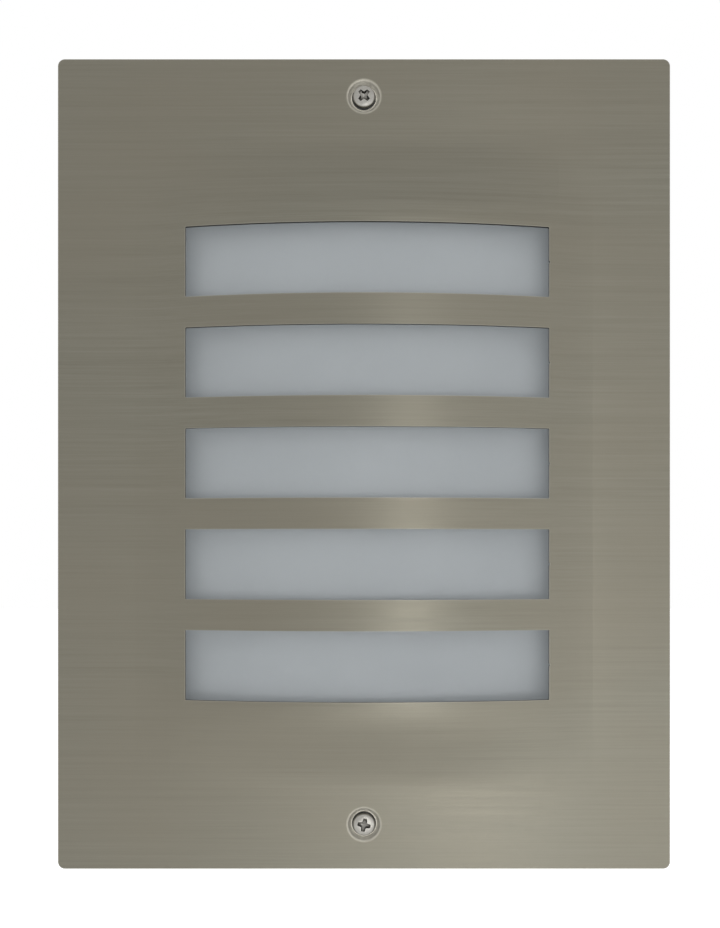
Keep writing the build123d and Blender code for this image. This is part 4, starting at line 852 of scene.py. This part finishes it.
def entry_plug():
    """The blanking plug, with a milled rim and a slot for a coin."""
    def milled(angle):
        return PLUG_R + 0.1 * math.cos(PLUG_GRIPS * angle)

    face = [(0, PLUG_FACE_Z), (9.0, PLUG_FACE_Z), (12.2, PLUG_FACE_Z), (13.0, PLUG_FACE_Z + 0.3)]
    rim = [(PLUG_R, PLUG_FACE_Z + 1.0), (milled, PLUG_FACE_Z + 1.4), (milled, FLANGE_TOP_Z - 0.8)]
    rim += [(13.3, FLANGE_TOP_Z - 0.3), (13.0, FLANGE_TOP_Z)]
    hollow = [(8.3, THREAD_TOP_Z), (8.0, THREAD_TOP_Z - 0.3), (8.0, -135.8), (7.6, -136.2), (0, -136.2)]
    plug = bmesh.new()
    spin(plug, at(PLUG_X, ENTRY_Y, 0), face + rim + entry_thread() + hollow, 180)
    plug = finish_mesh(plug, "blanking_plug", SHARP_HEXAGON)
    slit = bmesh.new()
    slit_cutter(slit, at(PLUG_X, ENTRY_Y, 0), 8.0, 1.1, PLUG_FACE_Z - 0.8, PLUG_FACE_Z + 1.8, 30)
    fit(carved(plug, finish_mesh(slit, "slit_cutter")), "gland_plastic", "housing", "entry_plug")


# ---------------------------------------------------------------- lamp and holder
CAP_PITCH = 3.62
CAP_FOOT_Z = -67.4
CAP_TOP_Z = -45.2
CAP_T = 0.42
SHELL_TOP_Z = -48.4
SHELL_FOOT_Z = -70.9
SHELL_T = 0.3

CHIP_Z = -8.42
# Radius, number of chips and turn, as a share of the space between two, of each ring.
CHIP_RINGS = ((6.5, 5, 0.0), (13.5, 10, 0.25), (19.5, 14, 0.25))
# Half width, half length and height of each level: a case with a sunken lens.
CHIP_LEVELS = ((1.4, 1.75, 0.0), (1.4, 1.75, 0.5), (1.25, 1.6, 0.62), (1.05, 1.4, 0.62), (0.95, 1.3, 0.50))


def lamp_cap():
    """The lamp's rolled screw cap, a thin shell."""
    wall = thread(12.35, 13.15, CAP_PITCH, CAP_FOOT_Z + 1.2, CAP_TOP_Z - 2.0, rolled=True)
    outside = [(12.3, CAP_FOOT_Z), (12.6, CAP_FOOT_Z + 0.4)] + wall
    outside += [(12.8, CAP_TOP_Z - 1.2), (13.15, CAP_TOP_Z - 0.7), (13.2, CAP_TOP_Z)]
    inside = [(12.75, CAP_TOP_Z + 0.1), (12.4, CAP_TOP_Z - 1.2)] + other_side(wall, -CAP_T)
    cap = bmesh.new()
    spin(cap, at(0, LAMP_Y, 0), outside + inside + [(12.1, CAP_FOOT_Z + 0.5)], 96, bored=True)
    fit(finish_mesh(cap, "rolled_lamp_cap", SHARP_ROLLED), "nickel_brass", "lamp", "lamp_cap")


def holder_shell():
    """The threaded shell inside the holder, from its mouth down and back up outside."""
    wall = thread(13.75, 14.05, CAP_PITCH, SHELL_TOP_Z - 1.6, SHELL_FOOT_Z + 1.5, rolled=True)
    foot = [(13.8, SHELL_FOOT_Z + 0.3), (14.3, SHELL_FOOT_Z)]
    profile = [(13.75, SHELL_TOP_Z)] + wall + foot + other_side(wall, SHELL_T) + [(14.35, SHELL_TOP_Z + 0.2)]
    shell = bmesh.new()
    spin(shell, at(0, LAMP_Y, 0), profile, 96, bored=True)
    shell = finish_mesh(shell, "rolled_holder_shell", SHARP_ROLLED)
    fit(shell, "nickel_brass", "housing", "lampholder_shell")


def board_chips():
    """The light-giving chips on the lamp's board."""
    chips = bmesh.new()
    levels = [(rectangle(half_x, half_y), height) for half_x, half_y, height in CHIP_LEVELS]
    for radius, count, turn in CHIP_RINGS:
        for i in range(count):
            angle = 2 * math.pi * (i + turn) / count
            x, y = radius * math.cos(angle), LAMP_Y + radius * math.sin(angle)
            prism(chips, at(x, y, CHIP_Z, turned_by(angle)), levels)
    fit(finish_mesh(chips, "board_chips"), "terminal_plastic", "lamp")


# ---------------------------------------------------------------- leads
# Each lead's finish, its length in metres and its route in millimetres, as in the CAD.
LEADS = {
    "live": ("lead_brown", 0.0342, (
        (26.0, 76.0, -105.0), (26.0, 76.0, -93.0), (20.4, 69.6, -84.5), (12.6, 60.5, -84.5),
    )),
    "neutral": ("lead_blue", 0.0612, (
        (38.0, 76.0, -105.0), (38.0, 76.0, -93.0), (38.0, 66.0, -83.0),
        (35.5, 50.0, -80.0), (28.0, 42.0, -79.0), (17.5, 41.2, -79.0),
    )),
    "earth": ("lead_green", 0.1092, (
        (50.0, 76.0, -112.5), (50.0, 76.0, -121.0), (42.5, 76.3, -127.0),
        (24.0, 74.2, -128.6), (-2.0, 75.5, -128.0), (-20.0, 78.6, -128.9),
        (-32.0, 79.6, -128.3), (-40.0, 79.9, -122.5), (-40.0, 79.9, -113.5),
    )),
}
LEAD_D = 0.0022


def leads():
    """The three single-core leads, each from its terminal to what it feeds."""
    for name, (slot, length, route) in LEADS.items():
        curve = bpy.data.curves.new(f"{name}_core", "CURVE")
        curve.dimensions = "3D"
        curve.bevel_depth = LEAD_D / 2
        curve.bevel_resolution = 6
        curve.resolution_u = 24
        curve.use_fill_caps = True
        spline = curve.splines.new("NURBS")
        spline.points.add(len(route) - 1)
        for point, spot in zip(spline.points, route):
            point.co = (*(Vector(spot) * MM), 1)
        spline.order_u = 3
        spline.use_endpoint_u = True
        made = bpy.data.objects.new(f"{name}_core", curve)
        bpy.context.scene.collection.objects.link(made)
        fit(made, slot, "housing", f"{name}_lead")


# ---------------------------------------------------------------- camera
PHOTO_SIZE = (720, 928)
PLATE_CENTRE_PIXEL = (364, 464)
HORIZON_PIXEL = 552
METRES_PER_PIXEL = 0.0003595
CAMERA_AWAY = 0.333
PLATE_FRONT_Y = -0.0032
SENSOR = 36.0
NEAREST_SEEN = 0.005


def make_camera():
    """A level camera close to the plate, at the height where the slots' edges look straight."""
    data = bpy.data.cameras.new("camera")
    data.sensor_width = SENSOR
    data.lens = SENSOR * CAMERA_AWAY / (PHOTO_SIZE[1] * METRES_PER_PIXEL)
    data.shift_y = (HORIZON_PIXEL - PLATE_CENTRE_PIXEL[1]) / PHOTO_SIZE[1]
    data.clip_start = NEAREST_SEEN
    camera = bpy.data.objects.new("camera", data)
    x = (PHOTO_SIZE[0] / 2 - PLATE_CENTRE_PIXEL[0]) * METRES_PER_PIXEL
    z = (PLATE_CENTRE_PIXEL[1] - HORIZON_PIXEL) * METRES_PER_PIXEL
    camera.location = (x, PLATE_FRONT_Y - CAMERA_AWAY, z)
    camera.rotation_euler = (math.pi / 2, 0, 0)
    bpy.context.scene.collection.objects.link(camera)
    bpy.context.scene.camera = camera


# ---------------------------------------------------------------- studio
WORLD_LEVEL = 0.62
FLOOR_Z = -0.42
FLOOR_HALF = 6.0
FLOOR_WHITE = 0.86
FLOOR_GLOW = 0.5
# Each lamp's place, the point it faces, its width and height, its power, and whether metal mirrors it.
LAMPS = {
    "key": ((0.19, -1.20, -0.10), (0, 0, -0.05), (0.14, 0.62), 0.8, True),
    "low": ((0.44, -0.85, -0.385), (0.2, 0, -0.12), (1.2, 0.16), 1.0, True),
    "side": ((1.00, -1.00, -0.10), (0, 0, 0), (1.5, 1.3), 1.3, True),
    "under": ((0.1, -0.9, -0.30), (0, 0, -0.05), (0.6, 0.2), 1.5, False),
    "top": ((-0.3, -0.9, 1.3), (0, 0, 0), (1.0, 1.0), 5.5, False),
    "back": ((0.6, 1.3, 0.9), (0, 0, 0), (1.0, 1.0), 9.0, True),
}


def shown_to_camera(tree):
    """1 for camera, glossy and transmission rays, 0 for the light that falls on things."""
    path = tree.nodes.new("ShaderNodeLightPath")
    total = path.outputs["Is Camera Ray"]
    for name in ("Is Glossy Ray", "Is Transmission Ray"):
        both = tree.nodes.new("ShaderNodeMath")
        both.operation = "MAXIMUM"
        tree.links.new(total, both.inputs[0])
        tree.links.new(path.outputs[name], both.inputs[1])
        total = both.outputs[0]
    return total


def make_world():
    """Soft even light, seen as white."""
    world = bpy.data.worlds.new("studio")
    bpy.context.scene.world = world
    world.use_nodes = True
    tree = world.node_tree
    tree.nodes.clear()
    soft = tree.nodes.new("ShaderNodeBackground")
    soft.inputs["Strength"].default_value = WORLD_LEVEL
    white = tree.nodes.new("ShaderNodeBackground")
    for background in (soft, white):
        background.inputs["Color"].default_value = (1, 1, 1, 1)
    mix = tree.nodes.new("ShaderNodeMixShader")
    tree.links.new(shown_to_camera(tree), mix.inputs[0])
    tree.links.new(soft.outputs[0], mix.inputs[1])
    tree.links.new(white.outputs[0], mix.inputs[2])
    tree.links.new(mix.outputs[0], tree.nodes.new("ShaderNodeOutputWorld").inputs["Surface"])


def floor_material():
    """White that is lifted for what looks at it, and keeps the part's shadow."""
    material = bpy.data.materials.new("floor")
    material.use_nodes = True
    tree = material.node_tree
    surface = tree.nodes["Principled BSDF"]
    surface.inputs["Base Color"].default_value = (FLOOR_WHITE, FLOOR_WHITE, FLOOR_WHITE, 1)
    surface.inputs["Roughness"].default_value = 0.9
    glow = tree.nodes.new("ShaderNodeEmission")
    level = tree.nodes.new("ShaderNodeMath")
    level.operation = "MULTIPLY"
    level.inputs[1].default_value = FLOOR_GLOW
    tree.links.new(shown_to_camera(tree), level.inputs[0])
    tree.links.new(level.outputs[0], glow.inputs["Strength"])
    both = tree.nodes.new("ShaderNodeAddShader")
    tree.links.new(surface.outputs[0], both.inputs[0])
    tree.links.new(glow.outputs[0], both.inputs[1])
    tree.links.new(both.outputs[0], tree.nodes["Material Output"].inputs["Surface"])
    return material


def make_floor():
    """A plain floor well below the part."""
    mesh = bpy.data.meshes.new("floor")
    corners = [(x, y, FLOOR_Z) for x, y in rectangle(FLOOR_HALF, FLOOR_HALF)]
    mesh.from_pydata(corners, [], [(0, 1, 2, 3)])
    mesh.materials.append(floor_material())
    floor = bpy.data.objects.new("floor", mesh)
    bpy.context.scene.collection.objects.link(floor)


def make_lamp(name, place, aim, size, power, mirrored):
    data = bpy.data.lights.new(name, "AREA")
    data.shape = "RECTANGLE"
    data.size, data.size_y = size
    data.energy = power
    lamp = bpy.data.objects.new(name, data)
    lamp.visible_glossy = mirrored
    lamp.location = place
    lamp.rotation_euler = (Vector(aim) - Vector(place)).to_track_quat("-Z", "Y").to_euler()
    bpy.context.scene.collection.objects.link(lamp)


def make_studio():
    bpy.context.scene.view_settings.view_transform = "Standard"
    make_world()
    make_floor()
    for name, lamp in LAMPS.items():
        make_lamp(name, *lamp)


make_camera()
leads()
dress_nodes()
fascia_screws()
frame_hardware()
box_fixings()
pillar_brass()
lock_nuts()
gland_body()
gland_dome_nut()
entry_plug()
lamp_cap()
holder_shell()
board_chips()
make_studio()

bpy.context.view_layer.update()
